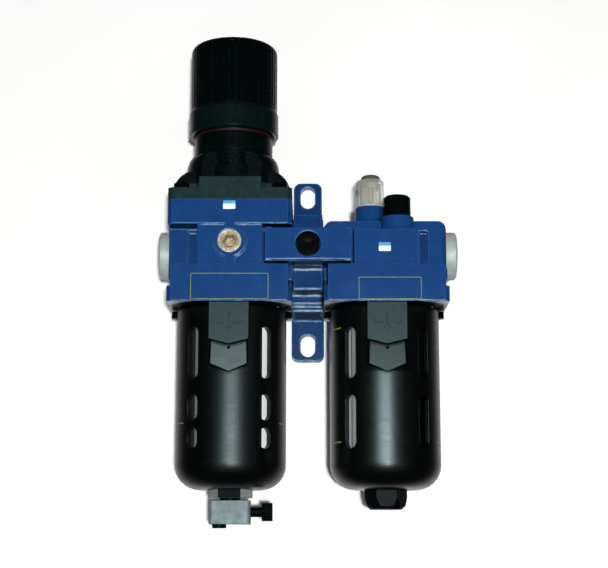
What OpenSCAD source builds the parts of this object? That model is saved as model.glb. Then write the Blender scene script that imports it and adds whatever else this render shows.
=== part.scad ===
// Filter regulator lubricator for compressed air: a filter regulator and a lubricator, two square
// cast modules clamped to one wall bracket, each with a guarded bowl below it.
// Frame: +Z up, +X to the right as seen from the front, and the front faces -Y.
// Origin: on the wall face, midway between the two bracket slots and level with the port axis.

/* [Modules] */
// Width and depth of each square module body
module_w = 70; // [69:1:80]
// Width of the spacer between the two modules
spacer_w = 18; // [17:1:26]
// How far the front half of the spacer stays clear of each module
web_inset = 0.6; // [0.4:0.1:1.5]
// Distance from the wall face to the module axes
wall_gap = 42; // [41:1:60]
// Depth of the groove round the sides of the bodies
side_groove = 2; // [1.6:0.2:2.4]
// Bevel of the upright body corners
corner_bevel = 2.5; // [1:0.5:3.5]
// Height of the regulator body above the port axis
body_rise = 25.8; // [25:0.2:34]
// Height of the lubricator body above the port axis
lub_rise = 16; // [14:0.5:19]
// Depth of both bodies below the port axis
body_drop = 32.5; // [32.5:0.5:40]

/* [Clamping] */
// Height of the band that takes the clamps
band_h = 23; // [22.4:0.2:24]
// Height of the clamp bars
bar_h = 19.4; // [17:0.2:20]
// Width of each clamp notch, from the side of the body
notch_w = 17; // [16:0.5:20]
// Depth of each clamp notch, from the front or back of the body
notch_d = 13; // [12:0.5:15]
// How far the clamp bar reaches over each body
clamp_reach = 15.2; // [12:0.2:15.4]
// Width of the hook at each end of a clamp bar
hook_w = 4; // [3:0.5:5]
// Depth of the hook behind the notch floor
hook_h = 4; // [2:0.5:5]
// Clearance round the clamp bars
clamp_clear = 0.3; // [0.2:0.05:0.5]
// Diameter of the counterbore for the clamp screw head
clamp_bore_d = 14.3; // [13.6:0.1:16]
// Depth of that counterbore
clamp_sink = 9.6; // [8.5:0.1:10]
// Thread diameter of the clamp screw
clamp_thread_d = 8; // [6:1:8]
// Length of thread that the clamp screw has in the spacer
clamp_grip = 11; // [8:0.5:12]

/* [Wall bracket] */
// Width of the upper bracket ear
ear_w = 17; // [16:0.5:20]
// Width of the lower bracket ear
ear_low_w = 19.4; // [17:0.2:20]
// Height over both ears
ear_h = 111; // [108:1:130]
// How far the middle of the ears lies below the port axis
ear_drop = 1.4; // [0:0.2:2]
// Thickness of the ears
ear_t = 4.5; // [3:0.5:6]
// Material left between each slot and the end of its ear
slot_end = 3; // [2:0.5:5]
// Width of each slot
slot_w = 9; // [7:0.5:11]
// Length of each slot, end to end
slot_len = 13; // [12:0.5:16]
// Half height of the spacer block
web_h = 22; // [18:0.5:22]

/* [Ports] */
// Diameter of the port bosses
port_boss_d = 28; // [26:0.5:32]
// How far a port boss stands out from its body
port_reach = 7; // [4:0.5:12]
// Diameter of the spigot that holds a port bush
port_spigot_d = 24; // [22:0.5:24.4]
// Length of that spigot
port_spigot_l = 9; // [6:0.5:10]
// Bore of the port threads
port_bore_d = 19; // [14:0.5:20]
// Diameter of the air way through the bodies and the spacer
flow_d = 16; // [12:0.5:17]
// Section of the spacer seals
spacer_seal_t = 1.8; // [1.5:0.1:2.4]

/* [Gauge port] */
// Diameter of the gauge plug
gauge_d = 13.2; // [10:0.1:14]
// Length of the gauge plug
gauge_len = 10; // [8:0.5:12]
// Diameter of the boss round the gauge port
gauge_boss_d = 18.6; // [17:0.2:19]
// Height of the gauge port above the port axis
gauge_rise = 1.6; // [0:0.1:1.8]
// Depth of the recessed pad round the gauge boss
pad_setback = 1; // [0.5:0.1:2]
// Width of the ribs above and below the gauge boss
gauge_rib_w = 6; // [4:0.5:10]
// Hexagon across flats of the socket in the gauge plug
gauge_hex = 6; // [5:0.5:7]

/* [Bonnet] */
// Thickness of the square foot of the bonnet
plate_t = 6.8; // [5:0.2:10]
// Height of the blocks between the screw pockets
block_h = 6.4; // [5:0.2:8]
// Width of the blocks between the screw pockets
block_w = 35; // [33:0.5:38]
// Height of the rounded side arms above those blocks
arm_over = 8; // [2:0.5:9]
// Diameter of the bell
bell_d = 54; // [52:0.5:56]
// Height of the bell above the foot
bell_h = 17.4; // [16:0.2:22]
// Height of the rounded shoulder of the bell
shoulder_h = 8; // [7:0.5:10]
// Half depth across the flats at the front and back of the bell
bell_flat = 20.9; // [20.5:0.1:22]
// Diameter of the neck
neck_d = 46; // [45:0.5:47]
// Height of the neck above the shoulder
neck_h = 42; // [38:0.5:50]
// Wall of the spring chamber in the neck
neck_t = 3; // [2.5:0.1:3.4]
// Thickness of the end wall that carries the spindle
end_wall = 4; // [3:0.5:6]
// Pitch of the thread on the neck
thread_pitch = 1.5; // [1:0.25:1.5]
// Distance of the bonnet screws from the sides of the bonnet foot
screw_inset = 7; // [6:0.1:7.5]
// Thread diameter of the bonnet screws
screw_d = 5; // [4:0.5:5.5]
// Depth of the bonnet screws in the body
screw_grip = 12; // [8:0.5:14]

/* [Knob] */
// Diameter of the gripped part of the knob
knob_d = 51.2; // [50:0.2:52]
// Diameter of the plain ring at the foot of the knob
knob_ring_d = 52.8; // [52:0.2:56]
// Height of the knob above the shoulder of the bell
knob_gap = 13.7; // [10:0.1:16]
// Height of the plain ring
knob_ring_h = 14; // [12:0.5:20]
// Height of the gripped part
knob_grip_h = 41; // [35:0.5:45]
// Number of grip grooves
grip_count = 40; // [24:1:48]
// Radius of each grip groove
grip_r = 0.9; // [0.6:0.1:1.2]
// How far the knob is pushed down to lock
push_travel = 3; // [2:0.5:4]
// Hexagon across flats of the spindle top
spindle_hex = 12; // [10:0.5:13]
// Thread diameter of the spindle
spindle_d = 10; // [8:0.5:10.5]
// Travel of the spring seat
seat_travel = 6; // [4:0.5:10]
// Height of the spring seat
seat_h = 8; // [6:0.5:10]
// Height of the lock ring
lock_ring_h = 1.2; // [1:0.1:3]

/* [Valve] */
// Thickness of the diaphragm
diaphragm_t = 1.4; // [1:0.1:1.6]
// Diameter of the diaphragm
diaphragm_d = 56; // [54:0.5:58]
// Depth of the chamber under the diaphragm
chamber_h = 7.4; // [6:0.2:8]
// Lift of the valve
valve_lift = 1.5; // [1:0.1:2]
// Outer diameter of the valve seat
valve_seat_d = 20; // [18:0.5:20.5]
// Bore of the valve seat
valve_bore_d = 11; // [9:0.5:12]
// Outer diameter of the cage that holds the valve
cage_d = 26; // [25:0.5:27]
// Height of that cage
cage_h = 15; // [14:0.5:18]
// Wire radius of the regulating spring
main_wire = 1.9; // [1.5:0.1:2.2]
// Turns of the regulating spring
main_turns = 8; // [6:1:9]

/* [Bowls] */
// How far the bowl guards stand in from the sides of the bodies
guard_inset = 3.5; // [2.5:0.25:4]
// Wall of the bowl guards
guard_wall = 3; // [2.5:0.1:3.4]
// Depth of the guards below the bodies
guard_drop = 102.5; // [98:0.5:130]
// Radius of the bottom corner of the guards
guard_corner = 14; // [12:0.5:15]
// Step in from the guard to its neck inside the body
neck_step = 2.6; // [2.4:0.1:3]
// Wall of that neck
guard_neck_t = 1.8; // [1.6:0.1:2.2]
// Wall of the clear bowls
bowl_wall = 2.4; // [1.8:0.1:3]
// Clearance round the bowl parts
bowl_clear = 0.4; // [0.3:0.05:0.5]
// Depth of the socket in each body
socket_depth = 20; // [19.4:0.1:20]
// Thickness of the bowl lip
lip_t = 2.5; // [2:0.1:3]
// Thickness of the bowl seal
bowl_seal_t = 2.2; // [1.8:0.1:2.6]
// Height of the bayonet groove above the underside
groove_up = 3; // [2.6:0.1:3.2]
// Height of the bayonet groove
groove_h = 5; // [4:0.1:5.5]
// Depth of the bayonet groove
groove_d = 2.2; // [1.6:0.1:2.4]
// Angle that each bayonet lug spans
lug_angle = 30; // [20:1:36]
// Turn that frees the bayonet
twist = 45; // [40:1:60]
// Angle of the window slots from the front
window_angle = 40; // [34:1:44]
// Width of the window slots
window_w = 7.6; // [4:0.2:8]
// Height of the upper windows
window_upper_h = 29; // [20:0.5:32]
// Depth of the upper windows below the body
window_drop = 13; // [11:0.5:16]
// Solid band between the upper and lower windows
window_band = 9; // [6:0.5:12]
// Height of the lower windows
window_lower_h = 30; // [20:0.5:33]
// Height of the bar across the lower windows of the filter guard
window_bar = 4; // [2:0.5:6]
// How far the side ears of the guards stay behind the sides of the bodies
ear_setback = 0.4; // [0.4:0.1:1.5]
// Height of the side ears of the guards
side_ear_h = 4; // [2:0.5:5]

/* [Lock buttons] */
// Width of the lock buttons
button_w = 22; // [21:0.2:24]
// Height of the straight sides of the lock buttons
button_h = 20.6; // [18:0.2:22]
// Depth of the point at the foot of the lock buttons
button_point = 2.8; // [1:0.2:4]
// Thickness of the lock buttons
button_t = 1.6; // [1.2:0.1:2.4]
// Travel of the lock buttons
button_travel = 4; // [3:0.5:5]
// Depth of the arrows engraved on the lock buttons
arrow_depth = 0.4; // [0.2:0.1:0.8]
// How far the button track stands out from the guard
track_out = 0.9; // [0.6:0.1:1.4]
// Height of the button track below the body
track_h = 34.6; // [32:0.2:40]
// Width of the button track at its foot
track_w = 20.4; // [19:0.2:20.4]

/* [Drain] */
// Hexagon across flats of the drain nut
nut_af = 22; // [19:0.5:24]
// Height of the drain nut
nut_h = 4.5; // [3:0.1:6]
// Diameter of the drain neck
drain_neck_d = 12; // [10:0.5:13]
// Width of the drain block
drain_w = 23.4; // [21:0.2:26]
// Depth of the drain block
drain_d = 14; // [13.5:0.5:18]
// Height of the drain block
drain_h = 13; // [12:0.2:16]
// Gap between the nut and the block
drain_gap = 1.6; // [1:0.1:4]
// Diameter of the drain nozzle
nozzle_d = 8; // [6:0.2:8.4]
// How far the nozzle stands out below the block
nozzle_out = 2.2; // [1:0.2:8]
// Offset of the nozzle from the bowl axis
nozzle_at = 6; // [5.5:0.1:6.5]
// Diameter of the drain screw stem
drain_stem_d = 5.7; // [5:0.1:6]
// Length of stem outside the block
drain_stem_out = 6.3; // [5:0.1:10]
// Diameter of the drain screw head
drain_head_d = 10.3; // [9:0.1:12]
// Length of the drain screw head
drain_head_l = 6; // [4:0.2:8]
// Travel of the drain screw
drain_travel = 3; // [2:0.5:4]

/* [Lubricator top] */
// Sideways place of the sight dome from the module axis
dome_x = -7.6; // [-8:0.1:-7.4]
// Place of the sight dome towards the front
dome_y = -10; // [-10.4:0.1:-9.8]
// Diameter of the sight dome
dome_d = 15.2; // [14:0.1:15.6]
// Height of the sight dome above its boss
dome_h = 17; // [15:0.2:22]
// Wall of the sight dome
dome_wall = 1.8; // [1.2:0.1:2.2]
// Height of the dome boss above the body
dome_boss_h = 10; // [8:0.5:15]
// Diameter of the dome boss
dome_boss_d = 18.2; // [18:0.2:19]
// Height of the drip adjuster
adjuster_h = 2.6; // [2:0.1:5]
// Diameter of the drip adjuster
adjuster_d = 11; // [9:0.2:12]
// Sideways place of the fill plug from the module axis
fill_x = 6.9; // [6.4:0.1:8]
// Distance of the fill plug from the front of the body
fill_inset = 13; // [12:0.1:14]
// Diameter of the fill plug
fill_d = 15.3; // [14:0.1:16]
// Height of the fill plug above its boss
fill_h = 12.6; // [10:0.2:18]
// Height of the fill boss above the body
fill_boss_h = 1.5; // [1:0.1:4]
// Diameter of the fill boss
fill_boss_d = 18.8; // [18:0.2:20]
// Diameter of the fill plug stem
fill_stem_d = 11; // [9:0.2:11.4]
// Length of the fill plug stem
fill_stem_l = 11; // [9:0.5:12]

/* [Lubricator inside] */
// Outer diameter of the siphon tube
siphon_d = 5; // [4:0.2:5.6]
// Wall of the siphon tube
siphon_wall = 1; // [0.8:0.1:1.2]
// Place of the siphon tube behind the module axis
siphon_y = 13; // [12.5:0.1:14]
// Clearance of the strainer above the bowl floor
strainer_gap = 0.4; // [0.3:0.1:2]
// Height of the strainer
strainer_h = 10; // [6:0.5:14]
// Diameter of the strainer
strainer_d = 10; // [8:0.2:12]
// Diameter of the check ball
ball_d = 4; // [3.6:0.1:4.4]
// Lift of the check ball
ball_lift = 1; // [0.6:0.1:1.4]
// Across flats of the plug under the oil bowl
plug_af = 20.8; // [18:0.2:22]
// Height of that plug
plug_h = 11; // [8:0.2:14]

/* [Hidden] */
$fn = 64;

// Overshoot of a cut past the face that it opens
over = 1;
// Clearance of a part that slides or turns in its bore
run = 0.1;
// Gap between faces that only just clear each other
gap = 0.3;
// Clearance of a fixed part in its seat
seat_clear = 0.03;

blue = "#1d4a94";
black = "#17191b";
grey = "#b9bcbf";
steel = "#8d9195";
brass = "#b99a5b";
rubber = "#1c1c1c";
clear = "#d8dcdcaa";

half_w = module_w / 2;
pitch = module_w + spacer_w;
web_w = spacer_w - 2 * web_inset;
underside = -body_drop;
foot_top = underside + 9.3;
groove_top = foot_top + 5;
notch_floor = half_w - notch_d;
pad_w = module_w - 2 * notch_w;
bar_half = spacer_w / 2 + clamp_reach;
hook_mid = half_w - clamp_reach + hook_w / 2;
clamp_seat = half_w - clamp_sink;
slot_gap = ear_h - 2 * slot_end - slot_len;
flow_r = flow_d / 2;

// Heights and places of the bonnet and the knob
screw_at = half_w - screw_inset;
plate_top = body_rise + plate_t;
block_top = plate_top + block_h;
shoulder_low = plate_top + bell_h;
shoulder_top = shoulder_low + shoulder_h;
neck_top = shoulder_top + neck_h;
neck_r = neck_d / 2;
chamber_r = neck_r - neck_t;
knob_low = shoulder_top + knob_gap;
knob_mid = knob_low + knob_ring_h;
knob_top = knob_mid + knob_grip_h;
knob_bore_r = neck_r + 0.8;
knob_skin = 3;
knob_ceiling = neck_top + push_travel + 2 * gap;

// Heights along the spindle
collar_h = 2.8;
collar_top = neck_top + gap + collar_h;
hub_low = collar_top + push_travel + 2 * gap;
knob_lid = 4;
hex_top = knob_top - knob_lid - push_travel - 2 * gap;
seat_top = neck_top - end_wall - 6;
seat_low = seat_top - seat_h;
spindle_low = seat_low - seat_travel - 2;
key_w = 4;
key_d = 1.2;

// Heights of the valve
diaphragm_low = body_rise - diaphragm_t;
chamber_low = diaphragm_low - chamber_h;
chamber_side = 24;
plate_low = body_rise + run;
plate_h = 3;
plate_r = 18;
main_r = 13;
socket_top = underside + socket_depth;
valve_wall = flow_r - 1;
poppet_top = socket_top - gap;
poppet_h = 3.4;
poppet_r = 8;
cage_low = socket_top - cage_h;
cage_floor = 2;
cage_flange = 3;
element_h = 42;
element_r = 15;
element_bore = 11;
element_low = cage_low - element_h;
stud_r = 3;

// Radii and heights of the bowls
guard_r = half_w - guard_inset;
ear_reach = half_w - ear_setback;
guard_neck_r = guard_r - neck_step;
socket_r = guard_neck_r + bowl_clear;
guard_bore_r = guard_r - guard_wall;
neck_bore_r = guard_neck_r - guard_neck_t;
bowl_r = neck_bore_r - bowl_clear;
bowl_bore_r = bowl_r - bowl_wall;
guard_low = underside - guard_drop;
guard_high = underside - 0.5;
guard_step_z = guard_high - guard_wall;
bowl_low = guard_low + guard_wall + 1.5;
bowl_floor = bowl_low + bowl_wall;
seal_top = socket_top - gap;
lip_top = seal_top - bowl_seal_t;
lip_low = lip_top - lip_t;
lip_r = guard_neck_r - 0.2;
groove_low = underside + groove_up;
groove_r = socket_r + groove_d;
lug_r = groove_r - bowl_clear;
lug_turns = [90, 270];
window_turns = [-window_angle, window_angle, 180 - window_angle, 180 + window_angle];
window_top = underside - window_drop;
window_low_top = window_top - window_upper_h - window_band;
window_foot = window_low_top - window_lower_h;
bar_mid = window_low_top - window_lower_h / 2 - 1.4;

// Places of the lock buttons
track_front = guard_r + track_out;
button_back = track_front + gap;
button_front = button_back + button_t;
button_top = underside - 0.4;
button_foot = button_top - button_h;
track_top = underside - 2;
track_top_w = track_w - 2.4;
track_foot = underside - track_h;
track_point = 4.4;
pocket_r = 1.5;
pocket_y = track_front - pocket_r;
pocket_top = underside - 10.5;
pocket_low = pocket_top - 10;
peg_h = 1.2;
lock_wire = 0.22;
lock_coil_r = 0.95;

// Places of the drain
nut_low = guard_low - nut_h;
drain_top = nut_low - drain_gap;
drain_low = drain_top - drain_h;
drain_axis = drain_top - drain_h / 2 + 0.3;
drain_neck_r = drain_neck_d / 2;
drain_neck_low = drain_top - 2.6;
drain_flange_h = 2.6;
drain_way_r = 1.6;
stem_r = drain_stem_d / 2;
stem_bore_r = stem_r + run;
stem_tip = -2;
stem_groove_x = drain_w / 2 - 4.2;
stem_seal_w = 1.6;
stem_seal_d = 0.8;

// Places on top of the lubricator
fill_y = fill_inset - half_w;
lub_pad_top = band_h / 2 - 2.7;
dome_boss_top = lub_rise + dome_boss_h;
fill_boss_top = lub_rise + fill_boss_h;
dome_top = dome_boss_top + dome_h;
dome_r = dome_d / 2;
dome_foot_h = 3;
dome_seal_t = 1;
dome_lid = 2.4;
adjuster_stem_r = 2;
adjuster_stem_in = 1.8;
drip_flange_h = 3;
drip_r = 1.8;
drip_len = 8;
needle_r = 0.8;
needle_lift = 0.8;
fill_stem_r = fill_stem_d / 2;
fill_way_r = 3.4;
fill_stem_low = fill_boss_top - fill_stem_l;
fill_seal_w = 1.8;
fill_seal_d = 1;
siphon_r = siphon_d / 2;
siphon_x = dome_x + 3.6;
siphon_seat = 4;
siphon_top = socket_top + siphon_seat;
ball_r = ball_d / 2;
ball_way_r = ball_r + 0.3;
siphon_bore_r = siphon_r - siphon_wall;
ball_mid = siphon_top + sqrt(ball_r * ball_r - siphon_bore_r * siphon_bore_r) + 0.05;
ball_room_top = ball_mid + ball_r + ball_lift + gap;
strainer_low = bowl_floor + strainer_gap;
siphon_low = strainer_low + 3;

module at_filter() {
    translate([-pitch / 2, -wall_gap, 0]) children();
}

module at_lubricator() {
    translate([pitch / 2, -wall_gap, 0]) children();
}

// Upright ring between two heights
module ring(outer, inner, low, high) {
    difference() {
        translate([0, 0, low]) cylinder(r = outer, h = high - low);
        translate([0, 0, low - over]) cylinder(r = inner, h = high - low + 2 * over);
    }
}

// Upright rod between two heights
module rod(r, low, high) {
    translate([0, 0, low]) cylinder(r = r, h = high - low);
}

// Rod along X between two places
module rod_x(r, from, to) {
    translate([from, 0, 0]) rotate([0, 90, 0]) cylinder(r = r, h = to - from);
}

// Rod along Y between two places
module rod_y(r, from, to) {
    translate([0, from, 0]) rotate([-90, 0, 0]) cylinder(r = r, h = to - from);
}

// Upright hexagon rod, by its width across flats
module hex_rod(across, low, high) {
    translate([0, 0, low]) cylinder(r = across / sqrt(3), h = high - low, $fn = 6);
}

// Rectangle with true round corners
module round_square(w, d, r) {
    square([w - 2 * r, d], center = true);
    square([w, d - 2 * r], center = true);
    for (sx = [-1, 1], sy = [-1, 1])
        translate([sx * (w / 2 - r), sy * (d / 2 - r)]) circle(r);
}

// Upright slot outline between two heights
module slot_outline(w, low, high) {
    translate([-w / 2, low + w / 2]) square([w, high - low - w]);
    translate([0, low + w / 2]) circle(w / 2);
    translate([0, high - w / 2]) circle(w / 2);
}

// Part of a ring that spans an angle round a middle direction
module ring_part(outer, inner, low, high, middle, span) {
    rotate([0, 0, middle - span / 2])
        rotate_extrude(angle = span)
            translate([inner, low]) square([outer - inner, high - low]);
}

// Half section of a cup: straight wall, round bottom corner, flat bottom
module cup_section(r, low, high, corner) {
    translate([0, low + corner]) square([r, high - low - corner]);
    translate([0, low]) square([r - corner, high - low]);
    translate([r - corner, low + corner]) circle(corner);
}

// Seal ring of a round section that is squeezed flat above and below
module squeezed_ring(mid_r, thickness, low) {
    bulge = thickness * 0.6;
    rotate_extrude()
        translate([mid_r, low + thickness / 2])
            intersection() {
                circle(bulge);
                square([2 * bulge, thickness], center = true);
            }
}

// Centre of the wire of a coil at step k
function coil_point(k, rings, turns, r, low, high) =
    [r * cos(360 * k / rings), r * sin(360 * k / rings), low + (high - low) * k / (rings * turns)];

// Coil spring as one unbroken tube between two seats
module coil(turns, r, wire_r, seat_low, seat_high) {
    rings = 8;
    sides = 6;
    steps = turns * rings;
    low = seat_low + wire_r + run;
    high = seat_high - wire_r - run;
    middles = [for (k = [0 : steps]) coil_point(k, rings, turns, r, low, high)];
    points = [
        for (k = [0 : steps], j = [0 : sides - 1])
            let (a = 360 * k / rings, t = 360 * j / sides)
                middles[k] + wire_r * [cos(t) * cos(a), cos(t) * sin(a), sin(t)]
    ];
    skin = [
        for (k = [0 : steps - 1], j = [0 : sides - 1], half = [0, 1])
            let (a = k * sides + j, b = k * sides + (j + 1) % sides)
                half == 0 ? [a, b, b + sides] : [a, b + sides, a + sides]
    ];
    start = [for (j = [1 : sides - 2]) [0, j + 1, j]];
    end = [for (j = [1 : sides - 2]) [0, j, j + 1] + steps * sides * [1, 1, 1]];
    polyhedron(points, concat(skin, start, end));
    least = min([for (k = [0 : steps - rings]) norm(middles[k + rings] - middles[k])]);
    echo("least gap between turns", least - 2 * wire_r);
}

// Square module block between two heights, with bevelled upright corners
module block_between(low, high) {
    flat = half_w - corner_bevel;
    translate([0, 0, low])
        linear_extrude(high - low)
            polygon([
                [flat, -half_w], [half_w, -flat], [half_w, flat], [flat, half_w],
                [-flat, half_w], [-half_w, flat], [-half_w, -flat], [-flat, -half_w]
            ]);
}

// Room for the clamp hooks behind the notch floors, on all four corners
module hook_grooves() {
    for (sx = [-1, 1], sy = [-1, 1])
        translate([sx * hook_mid, sy * (notch_floor - hook_h / 2), 0])
            cube([hook_w, hook_h, bar_h] + 2 * clamp_clear * [1, 1, 1], center = true);
}

// Groove round the sides of a body above its foot, taller at the corners
module side_grooves() {
    mid = half_w - side_groove / 2 + over / 2;
    width = side_groove + over;
    for (sx = [-1, 1]) {
        translate([sx * mid, 0, (foot_top + groove_top) / 2])
            cube([width, module_w + over, groove_top - foot_top], center = true);
        for (sy = [-1, 1])
            translate([sx * mid, sy * (half_w - notch_d / 2 + over / 2), (foot_top - band_h / 2) / 2])
                cube([width, notch_d + over, -band_h / 2 - foot_top + over], center = true);
    }
}

// Socket, bayonet groove and entry slots under a body
module bowl_socket() {
    rod(socket_r, underside - over, socket_top);
    rod(groove_r, groove_low, groove_low + groove_h);
    for (turn = lug_turns)
        ring_part(groove_r, socket_r - over, underside - over, groove_low + over,
            turn + twist, lug_angle + 6);
}

// Seat for a port bush on the +X side of a body
module port_seat() {
    rod_x(port_spigot_d / 2 + seat_clear, half_w - port_spigot_l - seat_clear, half_w + over);
}

// Threaded port boss on the +X side of a body
module port_bush() {
    chamfer = 1;
    face = half_w + port_reach;
    difference() {
        union() {
            rotate([0, 90, 0])
                rotate_extrude()
                    polygon([
                        [0, half_w], [port_boss_d / 2, half_w],
                        [port_boss_d / 2, face - chamfer], [port_boss_d / 2 - chamfer, face], [0, face]
                    ]);
            rod_x(port_spigot_d / 2, half_w - port_spigot_l, half_w + over);
        }
        rod_x(port_bore_d / 2, half_w - port_spigot_l - over, face + over);
    }
}

module inlet_port_bush() {
    color(grey) at_filter() mirror([1, 0, 0]) port_bush();
}

module outlet_port_bush() {
    color(grey) at_lubricator() port_bush();
}

// Clamp bar with a hook at each end, in front of the module axes
module clamp_bar() {
    chamfer = 1;
    back = notch_floor + clamp_clear;
    rotate([90, 0, 90])
        linear_extrude(2 * bar_half, center = true)
            polygon([
                [-back, -bar_h / 2], [-back, bar_h / 2],
                [chamfer - half_w, bar_h / 2], [-half_w, bar_h / 2 - chamfer],
                [-half_w, chamfer - bar_h / 2], [chamfer - half_w, -bar_h / 2]
            ]);
    for (side = [-1, 1])
        translate([side * (bar_half - hook_w / 2), (hook_h - back - half_w) / 2 + clamp_clear / 2, 0])
            cube([hook_w, half_w - back + hook_h - clamp_clear, bar_h], center = true);
}

// Side view of the front half of the spacer, with the nose that the front clamp draws in
module web_front_outline() {
    nose = notch_floor;
    inner = nose - 10;
    polygon([
        [-nose, bar_h / 2], [-nose, -bar_h / 2], [-inner, -bar_h / 2], [-inner, -web_h],
        [over, -web_h], [over, web_h], [-inner, web_h], [-inner, bar_h / 2]
    ]);
}

// Side view of the back half of the spacer, stepped back below towards the lower ear
module web_back_outline() {
    foot = web_h + 5.7;
    toe = foot + 3.6;
    back = wall_gap - ear_t / 2;
    polygon([
        [0, -web_h], [4, -web_h], [4, -foot], [8, -foot], [8, -toe], [back, -toe],
        [back, web_h], [0, web_h]
    ]);
}

module spacer_bracket() {
    seal_mid = flow_r + 3;
    face_r = seal_mid + 2 * spacer_seal_t;
    color(blue) translate([0, -wall_gap, 0]) difference() {
        union() {
            rotate([90, 0, 90]) linear_extrude(web_w, center = true) web_front_outline();
            rotate([90, 0, 90]) linear_extrude(spacer_w, center = true) web_back_outline();
            rod_x(face_r, -spacer_w / 2, spacer_w / 2);
            translate([0, wall_gap, -ear_drop])
                rotate([90, 0, 0])
                    linear_extrude(ear_t) {
                        translate([0, ear_h / 4]) round_square(ear_w, ear_h / 2, 4);
                        translate([0, web_h / 2 - ear_h / 4])
                            round_square(ear_low_w, ear_h / 2 + web_h, 4);
                    }
            mirror([0, 1, 0]) clamp_bar();
        }
        rod_x(flow_r, -spacer_w, spacer_w);
        for (side = [-1, 1])
            translate([side * (spacer_w / 2 - spacer_seal_t / 2), 0, 0])
                rotate([0, 90, 0])
                    ring(seal_mid + spacer_seal_t, seal_mid - spacer_seal_t,
                        -spacer_seal_t / 2 - (side < 0 ? over : 0),
                        spacer_seal_t / 2 + (side > 0 ? over : 0));
        rod_y(clamp_thread_d / 2 + seat_clear, -half_w, -notch_floor + clamp_grip + gap);
        for (side = [-1, 1])
            translate([0, wall_gap + over, -ear_drop])
                rotate([90, 0, 0])
                    linear_extrude(ear_t + 2 * over)
                        slot_outline(slot_w, side * slot_gap / 2 - slot_len / 2,
                            side * slot_gap / 2 + slot_len / 2);
    }
}

module spacer_seals() {
    color(rubber) translate([0, -wall_gap, 0])
        for (side = [-1, 1])
            translate([side * (spacer_w / 2 - spacer_seal_t / 2), 0, 0])
                rotate([0, 90, 0]) squeezed_ring(flow_r + 3, spacer_seal_t, -spacer_seal_t / 2);
}

module front_clamp() {
    color(blue) translate([0, -wall_gap, 0]) difference() {
        clamp_bar();
        rod_y(clamp_bore_d / 2, -half_w - over, -clamp_seat);
        rod_y(clamp_thread_d / 2 + 0.5, -half_w, over - notch_floor);
    }
}

module clamp_screw() {
    head_h = clamp_thread_d;
    head_r = clamp_thread_d * 0.8;
    socket_af = clamp_thread_d * 0.75;
    color(black) translate([0, -wall_gap, 0]) difference() {
        union() {
            rod_y(head_r, -clamp_seat - head_h, -clamp_seat);
            rod_y(clamp_thread_d / 2, -clamp_seat - over, clamp_grip - notch_floor);
        }
        translate([0, -clamp_seat - head_h, 0])
            rotate([-90, 0, 0]) hex_rod(socket_af, -over, head_h / 2);
    }
}

module regulator_body() {
    color(blue) at_filter() difference() {
        union() {
            difference() {
                block_between(underside, body_rise);
                for (sx = [-1, 1], sy = [-1, 1])
                    translate([sx * (half_w - notch_w / 2 + over / 2),
                               sy * (half_w - notch_d / 2 + over / 2), 0])
                        cube([notch_w + over, notch_d + over, band_h], center = true);
                translate([0, -half_w, 0]) cube([pad_w, 2 * pad_setback, band_h], center = true);
            }
            translate([0, 0, gauge_rise]) rod_y(gauge_boss_d / 2, -half_w, over + pad_setback - half_w);
            translate([0, (over + pad_setback) / 2 - half_w, 0])
                cube([gauge_rib_w, over + pad_setback, band_h], center = true);
        }
        hook_grooves();
        side_grooves();
        bowl_socket();
        rod(diaphragm_d / 2 + seat_clear, diaphragm_low, body_rise + over);
        rod(chamber_side, chamber_low, body_rise);
        rod(valve_seat_d / 2, socket_top - over, chamber_low + over);
        rod_x(flow_r, 0, half_w + over);
        mirror([1, 0, 0]) {
            port_seat();
            rod_x(valve_wall, half_w - notch_w - 2, half_w);
            translate([half_w - notch_w, 0, 0]) rod(4.5, socket_top - over, 0);
        }
        translate([0, 0, gauge_rise]) {
            rod_y(gauge_d / 2 + seat_clear, -half_w - over, gauge_len - half_w);
            rod_y(gauge_d / 4, -half_w, -valve_seat_d / 2 + 2);
        }
        for (sx = [-1, 1], sy = [-1, 1])
            translate([sx * screw_at, sy * screw_at, 0])
                rod(screw_d / 2 + seat_clear, body_rise - screw_grip - gap, body_rise + over);
    }
}

module gauge_plug() {
    socket_depth_y = gauge_len * 0.6;
    color(brass) at_filter() translate([0, -half_w, gauge_rise]) difference() {
        rod_y(gauge_d / 2, -0.4, gauge_len);
        rotate([-90, 0, 0]) hex_rod(gauge_hex, -over, socket_depth_y);
    }
}

// Side arm of the bonnet: a rounded end that falls from the bell to the edge of the foot
module arm_outline() {
    reach = half_w - 1;
    rise = block_h + arm_over;
    polygon(concat(
        [for (a = [0 : 10 : 90]) [bell_flat + (reach - bell_flat) * cos(a), plate_top + rise * sin(a)]],
        [for (a = [90 : 10 : 180]) [-bell_flat + (reach - bell_flat) * cos(a), plate_top + rise * sin(a)]],
        [[-reach, plate_top - over], [reach, plate_top - over]]
    ));
}

// Half section of the bell: straight skirt and a shoulder that rounds in to the neck
module bell_outline() {
    bell_r = bell_d / 2;
    polygon(concat(
        [[0, plate_top - over], [bell_r, plate_top - over]],
        [for (a = [0 : 10 : 90])
            [neck_r + (bell_r - neck_r) * cos(a), shoulder_low + shoulder_h * sin(a)]],
        [[0, shoulder_top]]
    ));
}

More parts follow.
